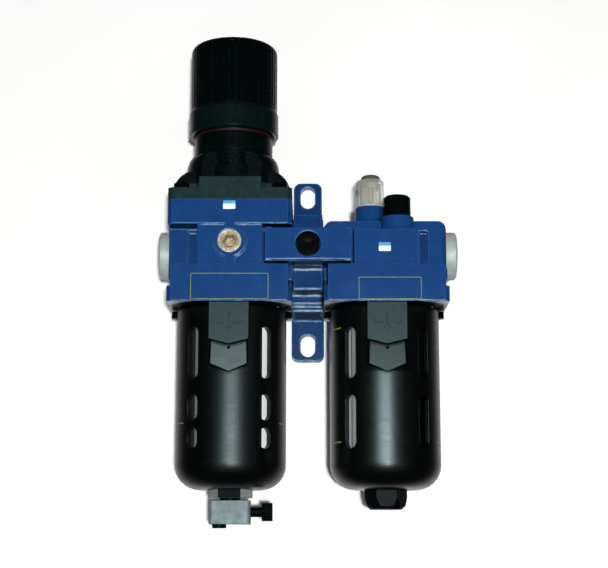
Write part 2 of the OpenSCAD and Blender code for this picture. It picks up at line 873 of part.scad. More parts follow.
// Half section of the neck: thread below, an undercut above it, then a plain stretch
module neck_outline() {
    thread_d = 0.55 * thread_pitch;
    turns = 5;
    thread_top = shoulder_top - 1;
    undercut = 1;
    ring_mid = knob_low - lock_ring_h;
    polygon(concat(
        [[0, plate_top], [neck_r, plate_top]],
        [for (k = [turns : -1 : 1], side = [0, 1, 2])
            [neck_r - (side == 1 ? thread_d : 0), thread_top - (k - side / 2) * thread_pitch]],
        [
            [neck_r - undercut, thread_top + 0.1], [neck_r - undercut, thread_top + 2],
            [neck_r, thread_top + 2.2],
            [neck_r, ring_mid - lock_ring_h / 2], [neck_r - 0.5, ring_mid - lock_ring_h / 2],
            [neck_r - 0.5, ring_mid + lock_ring_h / 2], [neck_r, ring_mid + lock_ring_h / 2],
            [neck_r, neck_top - 1], [neck_r - 1, neck_top], [0, neck_top]
        ]
    ));
}

module bonnet() {
    pointer_w = 0.9;
    pointer_d = 0.6;
    pointer_h = 5;
    color(black) at_filter() difference() {
        union() {
            block_between(body_rise, plate_top);
            translate([0, 0, plate_top + block_h / 2 - over / 2])
                cube([block_w, module_w, block_h + over], center = true);
            rotate([90, 0, 0]) linear_extrude(block_w, center = true) arm_outline();
            difference() {
                rotate_extrude() bell_outline();
                for (side = [-1, 1])
                    translate([0, side * (bell_flat + bell_d / 2), block_top + bell_d / 2])
                        cube(bell_d, center = true);
            }
            rotate_extrude() neck_outline();
            translate([0, -bell_flat, shoulder_low - 2.6])
                cube([pointer_w, 2 * pointer_d, pointer_h], center = true);
        }
        rod(chamber_side, body_rise - over, body_rise + plate_t / 2);
        rod(chamber_r, body_rise - over, neck_top - end_wall);
        for (side = [-1, 1])
            translate([side * chamber_r, 0, (plate_top + neck_top - end_wall) / 2])
                cube([2 * key_d, key_w, neck_top - end_wall - plate_top], center = true);
        rod(spindle_d / 2 + run, neck_top - end_wall - over, neck_top + over);
        for (sx = [-1, 1], sy = [-1, 1])
            translate([sx * screw_at, sy * screw_at, 0])
                rod(screw_d / 2 + 0.3, body_rise - over, plate_top + over);
    }
}

module bonnet_screws() {
    head_r = screw_d * 0.88;
    head_h = screw_d * 0.7;
    color(steel) at_filter()
        for (sx = [-1, 1], sy = [-1, 1])
            translate([sx * screw_at, sy * screw_at, 0])
                difference() {
                    union() {
                        rod(head_r, plate_top, plate_top + head_h);
                        rod(screw_d / 2, body_rise - screw_grip, plate_top + over);
                    }
                    hex_rod(screw_d * 0.8, plate_top + head_h * 0.4, plate_top + head_h + over);
                }
}

module lock_ring() {
    low = knob_low - lock_ring_h * 1.5;
    color("#c2451f") at_filter()
        ring(neck_r + 0.4, neck_r - 0.5 + seat_clear, low + seat_clear, low + lock_ring_h - seat_clear);
}

// Half section of the outside of the knob
module knob_outline() {
    grip = knob_d / 2;
    foot = knob_ring_d / 2;
    bevel = 0.6;
    edge = 3.6;
    polygon(concat(
        [[0, knob_low], [foot - bevel, knob_low], [foot, knob_low + bevel], [foot, knob_mid - 0.8],
         [foot - 0.8, knob_mid]],
        [for (a = [0 : 15 : 90]) [grip - edge + edge * cos(a), knob_top - edge + edge * sin(a)]],
        [[0, knob_top]]
    ));
}

module control_knob() {
    hub_r = spindle_hex / sqrt(3) + 3;
    grip_top = knob_top - 3;
    color(black) at_filter() difference() {
        rotate_extrude() knob_outline();
        rod(knob_bore_r, knob_low - over, knob_ceiling);
        ring(knob_d / 2 - knob_skin, hub_r, knob_ceiling - over, knob_top - knob_lid);
        rod(hub_r + over, knob_ceiling - over, hub_low);
        hex_rod(spindle_hex + 4 * run, hub_low - over, knob_top - knob_lid);
        for (k = [0 : grip_count - 1])
            rotate([0, 0, 360 * k / grip_count])
                translate([knob_d / 2 + 0.35 * grip_r, 0, 0]) rod(grip_r, knob_mid + 2, grip_top);
    }
}

module adjusting_screw() {
    color(steel) at_filter() {
        rod(spindle_d / 2, spindle_low, neck_top + over);
        rod(spindle_d * 0.8, neck_top - end_wall - gap - 2.5, neck_top - end_wall - gap);
        rod(spindle_d * 0.9, neck_top + gap, collar_top);
        hex_rod(spindle_hex, collar_top - over, hex_top);
    }
}

module spring_seat() {
    color(steel) at_filter() difference() {
        union() {
            rod(chamber_r - gap, seat_low, seat_top);
            for (side = [-1, 1])
                translate([side * (chamber_r - gap), 0, (seat_low + seat_top) / 2])
                    cube([2 * (key_d - gap) + gap, key_w - 2 * gap, seat_h], center = true);
        }
        rod(spindle_d / 2 + run, seat_low - over, seat_top + over);
    }
}

module regulating_spring() {
    color(steel) at_filter() coil(main_turns, main_r, main_wire, plate_low + plate_h, seat_low);
}

module diaphragm() {
    color(rubber) at_filter() ring(diaphragm_d / 2, 3.8, diaphragm_low, body_rise);
}

module diaphragm_plate() {
    color(steel) at_filter() {
        rod(plate_r, plate_low, plate_low + plate_h);
        rod(main_r - main_wire - 2 * gap, plate_low, plate_low + plate_h + 2);
        rod(3.4, diaphragm_low - 0.4, plate_low + over);
    }
}

module valve_seat() {
    color(brass) at_filter()
        ring(valve_seat_d / 2 - seat_clear, valve_bore_d / 2, socket_top, -flow_r + 1.5);
}

module valve_poppet() {
    color(brass) at_filter() {
        rod(2, poppet_top - over, diaphragm_low - 0.4);
        rod(poppet_r, poppet_top - poppet_h, poppet_top);
        rod(2.5, poppet_top - poppet_h - 4, poppet_top - poppet_h + over);
    }
}

module valve_spring() {
    color(steel) at_filter()
        coil(4, 4.6, 0.5, cage_low + cage_floor, poppet_top - poppet_h);
}

module valve_cage() {
    color(black) at_filter() difference() {
        union() {
            rod(cage_d / 2, cage_low, socket_top);
            rod(cage_d / 2 + cage_flange, cage_low, cage_low + cage_floor);
        }
        rod(valve_seat_d / 2 - 0.5, cage_low + cage_floor, socket_top + over);
        rod(stud_r + seat_clear, cage_low - over, socket_top);
        for (k = [0 : 5])
            rotate([0, 0, 60 * k]) translate([7, 0, 0]) rod(1.6, cage_low - over, socket_top);
    }
}

module deflector() {
    low = cage_low + cage_floor;
    outer = bowl_bore_r - 1.3;
    inner = cage_d / 2 + 0.2;
    vanes = 12;
    color("#3a3d40") at_filter() difference() {
        ring(outer, inner, low, socket_top);
        for (k = [0 : vanes - 1])
            rotate([0, 0, 360 * k / vanes])
                translate([outer, 0, (low + socket_top) / 2])
                    rotate([25, 0, 0])
                        cube([2 * (outer - inner) - 6, 2.4, 2 * socket_depth], center = true);
    }
}

module filter_element() {
    color("#e6e2d6") at_filter() ring(element_r, element_bore, element_low, cage_low);
}

module baffle() {
    disc_r = element_r + 5;
    color(black) at_filter() {
        rod(stud_r, element_low - over, cage_low + cage_floor);
        rod(disc_r, element_low - 4, element_low);
        ring(disc_r, disc_r - 1.5, element_low - 10, element_low - 4 + over);
    }
}

// Outline of the lock button track: sides that spread a little, and a pointed foot
module track_outline() {
    polygon([
        [-track_top_w / 2, track_top], [track_top_w / 2, track_top],
        [track_w / 2, track_foot], [0, track_foot - track_point], [-track_w / 2, track_foot]
    ]);
}

// Bowl guard with its bayonet lugs, windows, side ears and lock button track
module bowl_guard(windows, hole_r) {
    difference() {
        union() {
            rotate_extrude() cup_section(guard_r, guard_low, guard_high, guard_corner);
            rod(guard_neck_r, guard_high - over, lip_low);
            rotate([90, 0, 0]) linear_extrude(track_front) track_outline();
            for (turn = lug_turns)
                ring_part(lug_r, guard_neck_r - over, groove_low + gap, groove_low + groove_h - 0.5,
                    turn, lug_angle);
            for (turn = [0, 180])
                rotate([0, 0, turn])
                    translate([0, 0, guard_high - side_ear_h])
                        linear_extrude(side_ear_h)
                            polygon([
                                [guard_r - 2, -5.5], [ear_reach, -1], [ear_reach, 1], [guard_r - 2, 5.5]
                            ]);
        }
        rotate_extrude()
            cup_section(guard_bore_r, guard_low + guard_wall, guard_step_z, guard_corner - guard_wall);
        rod(neck_bore_r, guard_step_z - over, lip_low + over);
        rod(hole_r, guard_low - over, guard_low + 2 * guard_wall);
        for (span = windows, turn = window_turns)
            rotate([0, 0, turn])
                translate([0, -guard_r, 0])
                    rotate([90, 0, 0])
                        linear_extrude(2 * guard_wall + 2, center = true)
                            slot_outline(window_w, span[0], span[1]);
        translate([0, 0, button_foot - button_point - 2])
            rod_y(0.7, -track_front - over, 0.8 - track_front);
        translate([0, -pocket_y, 0]) rod(pocket_r, pocket_low, pocket_top + gap);
        translate([0, -track_front, (pocket_low + pocket_top + gap) / 2])
            cube([2 * pocket_r - 0.4, 2 * pocket_r, pocket_top + gap - pocket_low], center = true);
    }
}

module filter_guard() {
    color(black) at_filter()
        bowl_guard([
            [window_top - window_upper_h, window_top],
            [bar_mid + window_bar / 2, window_low_top],
            [window_foot, bar_mid - window_bar / 2]
        ], drain_neck_r + 0.2);
}

module lubricator_guard() {
    color(black) at_lubricator()
        bowl_guard([
            [window_top - window_upper_h, window_top],
            [window_foot, window_low_top]
        ], drain_neck_r + 0.2);
}

// Clear bowl with a lip that hangs on the neck of the guard
module clear_bowl() {
    corner = guard_corner - (guard_r - bowl_r);
    difference() {
        union() {
            rotate_extrude() cup_section(bowl_r, bowl_low, lip_top, corner);
            rod(lip_r, lip_low, lip_top);
        }
        rotate_extrude() cup_section(bowl_bore_r, bowl_floor, lip_top + over, corner - bowl_wall);
        rod(drain_neck_r + seat_clear, bowl_low - over, bowl_floor + over);
    }
}

module filter_bowl() {
    color(clear) at_filter() clear_bowl();
}

module lubricator_bowl() {
    color(clear) at_lubricator() clear_bowl();
}

module bowl_seal() {
    squeezed_ring((bowl_bore_r + lip_r) / 2, bowl_seal_t, lip_top);
}

module filter_bowl_seal() {
    color(rubber) at_filter() bowl_seal();
}

module lubricator_bowl_seal() {
    color(rubber) at_lubricator() bowl_seal();
}

// Arrow outline that points along -Y of its sketch
module arrow(length, head_w, shaft_w) {
    head = head_w * 0.6;
    translate([-shaft_w / 2, head - length]) square([shaft_w, length - head]);
    polygon([[0, -length], [head_w / 2, head - length], [-head_w / 2, head - length]]);
}

// Sliding latch: a plate with a pointed foot, side skirts, engraved arrows and a spring peg
module lock_button() {
    skirt_in = track_w / 2 + gap - 0.1;
    mid = button_top - button_h * 0.55;
    difference() {
        union() {
            translate([0, -button_back, 0])
                rotate([90, 0, 0])
                    linear_extrude(button_t)
                        polygon([
                            [-button_w / 2, button_top], [button_w / 2, button_top],
                            [button_w / 2, button_foot], [0, button_foot - button_point],
                            [-button_w / 2, button_foot]
                        ]);
            for (side = [-1, 1])
                translate([side * (skirt_in + button_w / 2) / 2, 0.4 - button_back,
                           (button_top + button_foot) / 2])
                    cube([button_w / 2 - skirt_in, 2, button_h], center = true);
            translate([0, -(button_back + pocket_y) / 2, pocket_top - peg_h / 2])
                cube([2 * pocket_r - 1, button_back - pocket_y + 0.4, peg_h], center = true);
        }
        translate([0, arrow_depth - button_front, mid])
            rotate([90, 0, 0])
                linear_extrude(arrow_depth + over) {
                    translate([0, 6]) arrow(11, 4, 0.9);
                    for (side = [-1, 1])
                        translate([side * 2.5, 0]) rotate([0, 0, side * 90]) arrow(5.5, 3.2, 0.9);
                }
    }
}

module lock_spring() {
    translate([0, -pocket_y, 0])
        coil(8, lock_coil_r, lock_wire, pocket_low, pocket_top - peg_h);
}

module filter_lock_button() {
    color("#4a5352") at_filter() lock_button();
}

module filter_lock_spring() {
    color(steel) at_filter() lock_spring();
}

module lubricator_lock_button() {
    color("#4a5352") at_lubricator() lock_button();
}

module lubricator_lock_spring() {
    color(steel) at_lubricator() lock_spring();
}

module drain_nut() {
    color(steel) at_filter() difference() {
        hex_rod(nut_af, nut_low, guard_low);
        rod(drain_neck_r + seat_clear, nut_low - over, guard_low + over);
    }
}

module drain_fitting() {
    color(black) at_filter() difference() {
        union() {
            rod(drain_neck_r, drain_neck_low, bowl_floor + over);
            rod(drain_neck_r + 3, bowl_floor, bowl_floor + drain_flange_h);
        }
        rod(drain_way_r, drain_neck_low - over, bowl_floor + drain_flange_h + over);
    }
}

module drain_block() {
    color(grey) at_filter() difference() {
        translate([0, 0, drain_low]) linear_extrude(drain_h) round_square(drain_w, drain_d, 2);
        rod(drain_neck_r + seat_clear, drain_neck_low, drain_top + over);
        rod(drain_way_r, drain_axis, drain_neck_low + over);
        translate([0, 0, drain_axis]) rod_x(stem_bore_r, stem_tip - gap, drain_w / 2 + over);
        translate([0, 0, drain_axis]) rod_x(drain_way_r, -nozzle_at, 0);
        translate([-nozzle_at, 0, 0]) {
            rod(drain_way_r, drain_low - over, drain_axis);
            rod(nozzle_d / 2 + seat_clear, drain_low - over, drain_low + 3);
        }
    }
}

module drain_nozzle() {
    color(black) at_filter() translate([-nozzle_at, 0, 0])
        ring(nozzle_d / 2, drain_way_r, drain_low - nozzle_out, drain_low + 3);
}

module drain_screw() {
    head_from = drain_w / 2 + drain_stem_out;
    knurls = 20;
    color(black) at_filter() translate([0, 0, drain_axis]) difference() {
        union() {
            rod_x(stem_r, stem_tip, head_from + over);
            rod_x(drain_head_d / 2, head_from, head_from + drain_head_l);
        }
        rotate([0, 90, 0])
            ring(stem_r + over, stem_r - stem_seal_d, stem_groove_x - stem_seal_w / 2,
                stem_groove_x + stem_seal_w / 2);
        for (k = [0 : knurls - 1])
            rotate([360 * k / knurls, 0, 0])
                translate([0, 0, drain_head_d / 2 + 0.2])
                    rod_x(0.55, head_from + 0.8, head_from + drain_head_l + over);
    }
}

module drain_screw_seal() {
    color(rubber) at_filter() translate([0, 0, drain_axis])
        rotate([0, 90, 0])
            ring(stem_r + run / 2, stem_r - stem_seal_d + run, stem_groove_x - stem_seal_w / 2 + run,
                stem_groove_x + stem_seal_w / 2 - run);
}

// Front view of the upper half of the lubricator body, with rounded top corners
module lub_outline() {
    round_r = 5;
    low = -band_h / 2 - over;
    translate([-half_w, low]) square([module_w, lub_rise - round_r - low]);
    translate([round_r - half_w, low]) square([module_w - 2 * round_r, lub_rise - low]);
    for (side = [-1, 1])
        translate([side * (half_w - round_r), lub_rise - round_r]) circle(round_r);
}

module lubricator_body() {
    channel_z = (flow_r + lub_rise) / 2;
    drip_back = 3;
    color(blue) at_lubricator() difference() {
        union() {
            block_between(underside, -band_h / 2);
            intersection() {
                rotate([90, 0, 0]) linear_extrude(2 * notch_floor, center = true) lub_outline();
                translate([0, 0, underside])
                    linear_extrude(body_drop + lub_rise) round_square(module_w, 2 * notch_floor, 4);
            }
            translate([0, 0, (lub_pad_top - band_h / 2 - over) / 2])
                cube([pad_w, module_w - 2 * pad_setback, lub_pad_top + band_h / 2 + over], center = true);
            translate([dome_x, dome_y, 0]) rod(dome_boss_d / 2, lub_rise - over, dome_boss_top);
            translate([fill_x, fill_y, 0]) rod(fill_boss_d / 2, lub_pad_top - over, fill_boss_top);
        }
        hook_grooves();
        side_grooves();
        bowl_socket();
        port_seat();
        rod_x(flow_r, -half_w - over, half_w - port_spigot_l + over);
        translate([dome_x, dome_y, 0]) {
            rod(dome_r + seat_clear, dome_boss_top - dome_foot_h - dome_seal_t, dome_boss_top + over);
            translate([0, drip_back, 0]) rod(1.5, 0, dome_boss_top);
        }
        translate([siphon_x, dome_y, 0]) rod(1, channel_z, dome_boss_top);
        translate([siphon_x, siphon_y, 0]) {
            rod(siphon_r + seat_clear, socket_top - over, siphon_top);
            rod(ball_way_r, siphon_top - over, ball_room_top);
            rod(1.5, socket_top, channel_z);
        }
        translate([siphon_x, 0, channel_z]) rod_y(1.2, dome_y, siphon_y);
        translate([fill_x, fill_y, 0]) {
            rod(fill_stem_r + run, fill_stem_low - gap, fill_boss_top + over);
            rod(fill_way_r, socket_top - over, fill_boss_top);
        }
    }
}

module sight_dome_seal() {
    low = dome_boss_top - dome_foot_h - dome_seal_t;
    color(rubber) at_lubricator() translate([dome_x, dome_y, 0])
        ring(dome_r, dome_r - dome_wall - 0.8, low, low + dome_seal_t);
}

// Clear sight dome with upright flutes
module sight_dome() {
    low = dome_boss_top - dome_foot_h;
    edge = 2;
    flutes = 12;
    color(clear) at_lubricator() translate([dome_x, dome_y, 0]) difference() {
        rotate_extrude() {
            translate([0, low]) square([dome_r, dome_top - low - edge]);
            translate([0, low]) square([dome_r - edge, dome_top - low]);
            translate([dome_r - edge, dome_top - edge]) circle(edge);
        }
        rod(dome_r - dome_wall, low - over, dome_top - dome_lid);
        rod(adjuster_stem_r + run, low, dome_top + over);
        for (k = [0 : flutes - 1])
            rotate([0, 0, 360 * k / flutes])
                translate([dome_r + 0.5, 0, 0]) rod(1, dome_boss_top + 1.5, dome_top - edge);
    }
}

module drip_adjuster() {
    edge = 1.8;
    low = dome_top + run;
    high = dome_top + adjuster_h;
    stem_low = dome_top - dome_lid - adjuster_stem_in;
    color("#2b2d2c") at_lubricator() translate([dome_x, dome_y, 0]) difference() {
        union() {
            rotate_extrude() {
                translate([0, low]) square([adjuster_d / 2, high - low - edge]);
                translate([0, low]) square([adjuster_d / 2 - edge, high - low]);
                intersection() {
                    translate([adjuster_d / 2 - edge, high - edge]) circle(edge);
                    translate([0, low]) square([adjuster_d, high - low]);
                }
            }
            rod(adjuster_stem_r, stem_low, low + over);
        }
        rod(needle_r + run, stem_low - over, dome_top);
        translate([0, 0, high]) cube([adjuster_d * 0.7, 1.2, 2], center = true);
    }
}

module drip_tube() {
    top = dome_top - dome_lid;
    low = top - drip_flange_h;
    color(brass) at_lubricator() translate([dome_x, dome_y, 0]) difference() {
        union() {
            rod(dome_r - dome_wall - seat_clear, low, top);
            rod(drip_r, low - drip_len, low + over);
        }
        rod(needle_r + 3 * run, low - drip_len - over, top + over);
        rod(adjuster_stem_r + run, top - adjuster_stem_in - run, top + over);
    }
}

module drip_needle() {
    top = dome_top - needle_lift - gap;
    color(steel) at_lubricator() translate([dome_x, dome_y, 0])
        rod(needle_r, dome_top - dome_lid - drip_flange_h - drip_len * 0.7, top);
}

module fill_plug() {
    high = fill_boss_top + fill_h;
    edge = 1;
    cap_low = fill_boss_top + gap;
    groove_z = fill_boss_top - 2.4;
    ribs = 24;
    color(black) at_lubricator() translate([fill_x, fill_y, 0]) difference() {
        union() {
            rotate_extrude()
                polygon([
                    [0, cap_low], [fill_d / 2, cap_low], [fill_d / 2, high - edge],
                    [fill_d / 2 - edge, high], [0, high]
                ]);
            rod(fill_stem_r, fill_stem_low, cap_low + over);
        }
        ring(fill_stem_r + over, fill_stem_r - fill_seal_d,
            groove_z - fill_seal_w / 2, groove_z + fill_seal_w / 2);
        for (k = [0 : ribs - 1])
            rotate([0, 0, 360 * k / ribs])
                translate([fill_d / 2 + 0.3, 0, 0]) rod(0.6, cap_low + 2, high - 2);
    }
}

module fill_plug_seal() {
    groove_z = fill_boss_top - 2.4;
    color(rubber) at_lubricator() translate([fill_x, fill_y, 0])
        ring(fill_stem_r + run / 2, fill_stem_r - fill_seal_d + run, groove_z - fill_seal_w / 2 + run,
            groove_z + fill_seal_w / 2 - run);
}

module siphon_tube() {
    color("#d9d6c8") at_lubricator() translate([siphon_x, siphon_y, 0])
        ring(siphon_r, siphon_bore_r, siphon_low, siphon_top);
}

module siphon_strainer() {
    color(brass) at_lubricator() translate([siphon_x, siphon_y, 0]) difference() {
        rod(strainer_d / 2, strainer_low, strainer_low + strainer_h);
        rod(siphon_r + seat_clear, siphon_low, strainer_low + strainer_h + over);
        rod(siphon_bore_r, strainer_low - over, siphon_low + over);
    }
}

module check_ball() {
    color(steel) at_lubricator() translate([siphon_x, siphon_y, ball_mid]) sphere(ball_r);
}

module flow_damper() {
    leaf_t = 1.2;
    color(rubber) at_lubricator() difference() {
        rod_x(flow_r - seat_clear, -leaf_t / 2, leaf_t / 2);
        rod_x(flow_r * 0.35, -leaf_t, leaf_t);
        for (k = [0 : 3])
            rotate([45 + 90 * k, 0, 0])
                translate([0, 0, flow_r * 0.7]) cube([2 * leaf_t, 0.6, flow_r * 0.3], center = true);
    }
}

module bowl_plug() {
    edge = 2;
    low = guard_low - plug_h;
    r = plug_af / sqrt(3);
    color(black) at_lubricator() {
        intersection() {
            hex_rod(plug_af, low, guard_low);
            rotate_extrude()
                polygon([
                    [0, low], [r - 1.5 * edge, low], [r - 0.5 * edge, low + edge],
                    [r + over, guard_low], [0, guard_low]
                ]);
        }
        rod(drain_neck_r, guard_low - over, bowl_floor);
    }
}

spacer_bracket();
front_clamp();
clamp_screw();
spacer_seals();
inlet_port_bush();
outlet_port_bush();
regulator_body();
gauge_plug();
bonnet();
bonnet_screws();
lock_ring();
control_knob();
adjusting_screw();
spring_seat();
regulating_spring();
diaphragm();
diaphragm_plate();
valve_seat();
valve_poppet();
valve_spring();
valve_cage();
deflector();
filter_element();
baffle();
filter_guard();
filter_bowl();
filter_bowl_seal();
filter_lock_button();
filter_lock_spring();
drain_nut();
drain_fitting();
drain_block();
drain_nozzle();
drain_screw();
drain_screw_seal();
lubricator_body();
sight_dome();
sight_dome_seal();
drip_adjuster();
drip_tube();
drip_needle();
fill_plug();
fill_plug_seal();
siphon_tube();
siphon_strainer();
check_ball();
flow_damper();
lubricator_guard();
lubricator_bowl();
lubricator_bowl_seal();
lubricator_lock_button();
lubricator_lock_spring();
bowl_plug();
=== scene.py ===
# %% [markdown]
# # Dressing a filter regulator lubricator
# Compressed air goes in on the left, through a filter regulator with a tall black knob, and out on the
# right, through a lubricator with a small clear sight dome. Both are blue castings clamped to one bracket.
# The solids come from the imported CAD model, so this lesson adds what solids can't hold: finishes, printed
# marks, stickers, the sheet of paper that the unit lies on, a lamp and a camera.
# Lengths are metres in the frame of the CAD model: +Z is up and the front faces -Y.

import math

import bpy
import numpy as np
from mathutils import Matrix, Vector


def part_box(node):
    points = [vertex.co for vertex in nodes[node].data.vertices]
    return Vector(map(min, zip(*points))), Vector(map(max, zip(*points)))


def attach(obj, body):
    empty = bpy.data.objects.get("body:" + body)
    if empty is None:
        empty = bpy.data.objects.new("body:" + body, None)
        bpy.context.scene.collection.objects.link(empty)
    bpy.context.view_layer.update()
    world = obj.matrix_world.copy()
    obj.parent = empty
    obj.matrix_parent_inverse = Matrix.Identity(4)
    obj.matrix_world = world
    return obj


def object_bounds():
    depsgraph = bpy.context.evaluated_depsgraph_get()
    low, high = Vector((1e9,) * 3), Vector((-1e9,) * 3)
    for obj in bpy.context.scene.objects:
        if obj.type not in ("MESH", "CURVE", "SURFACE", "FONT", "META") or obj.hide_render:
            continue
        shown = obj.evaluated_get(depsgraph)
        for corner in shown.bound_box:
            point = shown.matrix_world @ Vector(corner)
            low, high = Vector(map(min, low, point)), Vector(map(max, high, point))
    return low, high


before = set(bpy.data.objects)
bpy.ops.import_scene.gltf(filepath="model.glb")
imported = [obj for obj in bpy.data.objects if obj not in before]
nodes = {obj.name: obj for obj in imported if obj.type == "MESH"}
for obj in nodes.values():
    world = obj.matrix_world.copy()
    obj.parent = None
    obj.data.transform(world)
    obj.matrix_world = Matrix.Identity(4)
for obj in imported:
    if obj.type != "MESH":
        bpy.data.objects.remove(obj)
cad_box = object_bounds()
mm = 0.001
print(len(nodes), "solids; box", [[round(v, 4) for v in corner] for corner in cad_box])

# %% [markdown]
# ## Where things are
# A piece that is added later has to sit on the solid that carries it, so its place is read from the frame.
# The clear bowls are round, which makes the middle of their boxes the axes of the two modules.

# %% Axes and faces of the modules


def middle(name):
    """The middle of a node's box: half the sum of its lowest and highest corners."""
    low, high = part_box(name)
    return (low + high) / 2


filter_axis = middle("filter_bowl")
oil_axis = middle("lubricator_bowl")
front_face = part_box("regulator_body")[0].y
body_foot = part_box("regulator_body")[0].z
guard_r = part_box("filter_guard")[1].y - filter_axis.y
print("axes at x", round(filter_axis.x, 4), round(oil_axis.x, 4), "front face at y", round(front_face, 4))

# %% [markdown]
# ## A small kit for finishes
# Every finish is one Principled shader with a few textures in front of it. The textures read Object
# coordinates, so a pattern has the same scale on each piece and stays on it when the piece moves.
# The helpers below add a node, lay grain, colour it, and raise it as relief.

# %% Helpers for node materials


def start_finish(name, sockets):
    """A new material, its tree and its Principled shader, with constant values set on the shader."""
    finish = bpy.data.materials.new(name)
    finish.use_nodes = True
    shader = finish.node_tree.nodes["Principled BSDF"]
    for socket, value in sockets.items():
        shader.inputs[socket].default_value = value
    return finish, finish.node_tree, shader


def add(tree, kind, sockets=None, **settings):
    """One shader node: settings are its own properties, and sockets are constant inputs."""
    made = tree.nodes.new(kind)
    for key, value in settings.items():
        setattr(made, key, value)
    for key, value in (sockets or {}).items():
        made.inputs[key].default_value = value
    return made


def grain(tree, scale, detail=3.0, stretch=(1, 1, 1)):
    """Noise on Object coordinates: scale is in cells to the metre, and stretch squeezes it along an axis."""
    place = add(tree, "ShaderNodeTexCoord")
    turn = add(tree, "ShaderNodeMapping", {"Scale": stretch})
    noise = add(tree, "ShaderNodeTexNoise", {"Scale": scale, "Detail": detail})
    tree.links.new(place.outputs["Object"], turn.inputs["Vector"])
    tree.links.new(turn.outputs["Vector"], noise.inputs["Vector"])
    return noise.outputs["Fac"]


def ramp(tree, factor, stops):
    """Colour by a factor: stops are pairs of a place from 0 to 1 and a linear colour."""
    made = add(tree, "ShaderNodeValToRGB")
    elements = made.color_ramp.elements
    while len(elements) < len(stops):
        elements.new(0.5)
    for element, (place, colour) in zip(elements, stops):
        element.position = place
        element.color = (*colour, 1)
    tree.links.new(factor, made.inputs["Fac"])
    return made.outputs["Color"]


def mottle(tree, noise, dark, light):
    """Two shades by a noise, which mostly lies between 0.3 and 0.7."""
    return ramp(tree, noise, [(0.3, dark), (0.7, light)])


def spread(tree, factor, low, high):
    """A number that goes from low to high as the factor goes from 0.3 to 0.7, where noise mostly lies."""
    limits = {"From Min": 0.3, "From Max": 0.7, "To Min": low, "To Max": high}
    made = add(tree, "ShaderNodeMapRange", limits)
    tree.links.new(factor, made.inputs["Value"])
    return made.outputs["Result"]


def axis_share(tree, axis, low, high):
    """0 before one place along an axis of the frame, 1 past another, and even in between."""
    place = add(tree, "ShaderNodeTexCoord")
    split = add(tree, "ShaderNodeSeparateXYZ")
    share = add(tree, "ShaderNodeMapRange", {"From Min": low, "From Max": high})
    tree.links.new(place.outputs["Object"], split.inputs[0])
    tree.links.new(split.outputs[axis], share.inputs["Value"])
    return share.outputs["Result"]


def blend_colours(tree, factor, first, second):
    """The first colour where the factor is 0 and the second where it is 1."""
    made = add(tree, "ShaderNodeMix", data_type="RGBA")
    tree.links.new(factor, made.inputs[0])
    tree.links.new(first, made.inputs[6])
    tree.links.new(second, made.inputs[7])
    return made.outputs[2]


def relief(tree, shader, height, depth, edge):
    """Bump of a depth in metres, on normals that are rounded over an edge radius."""
    soft = add(tree, "ShaderNodeBevel", {"Radius": edge}, samples=6)
    bump = add(tree, "ShaderNodeBump", {"Strength": 1.0, "Distance": depth})
    tree.links.new(height, bump.inputs["Height"])
    tree.links.new(soft.outputs["Normal"], bump.inputs["Normal"])
    tree.links.new(bump.outputs["Normal"], shader.inputs["Normal"])
    return soft.outputs["Normal"]


def edge_share(tree, soft_normal, start=0.995, end=0.9):
    """0 on flat faces and 1 on edges: how far the rounded normal leans away from the true one."""
    true = add(tree, "ShaderNodeNewGeometry")
    lean = add(tree, "ShaderNodeVectorMath", operation="DOT_PRODUCT")
    share = add(tree, "ShaderNodeMapRange", {"From Min": start, "From Max": end})
    tree.links.new(true.outputs["Normal"], lean.inputs[0])
    tree.links.new(soft_normal, lean.inputs[1])
    tree.links.new(lean.outputs["Value"], share.inputs["Value"])
    return share.outputs["Result"]


def dress(finish, *names):
    """Puts a finish on CAD nodes, in the material slot that each of them has."""
    for name in names:
        nodes[name].material_slots[0].material = finish
    print(finish.name, "on", len(names), "solids")


# %% [markdown]
# ## Blue enamel on castings
# The two bodies, the bracket and the clamp bar are die castings in a deep blue enamel. The real coat has a
# faint orange peel and is glossier along edges, where hands rub it. The colour carries painted shade: it is
# darker in hollows, by an Ambient Occlusion node, and darkest on faces that look down. Edges are paler,
# partly thinner paint and partly a painted highlight, and lower edges carry pale painted glints in patches.
# The undersides are machined after painting: they are black round each module's axis and bare at the corners.
# A mask could be painted by hand, but the direction of the surface and the distance from a module's axis
# already say which places those are. The bracket gets the same coat in a deeper tone, which is painted shade,
# with wider fillets.

# %% Blue enamel


def underside_share(tree, height=1.0):
    """1 on faces that look down below a height in the frame, which is above the unit by default, else 0."""
    true = add(tree, "ShaderNodeNewGeometry")
    place = add(tree, "ShaderNodeTexCoord")
    split_n = add(tree, "ShaderNodeSeparateXYZ")
    split_p = add(tree, "ShaderNodeSeparateXYZ")
    down = add(tree, "ShaderNodeMath", {1: -0.9}, operation="LESS_THAN")
    low = add(tree, "ShaderNodeMath", {1: height}, operation="LESS_THAN")
    both = add(tree, "ShaderNodeMath", operation="MULTIPLY")
    tree.links.new(true.outputs["Normal"], split_n.inputs[0])
    tree.links.new(place.outputs["Object"], split_p.inputs[0])
    tree.links.new(split_n.outputs["Z"], down.inputs[0])
    tree.links.new(split_p.outputs["Z"], low.inputs[0])
    tree.links.new(down.outputs[0], both.inputs[0])
    tree.links.new(low.outputs[0], both.inputs[1])
    return both.outputs[0]


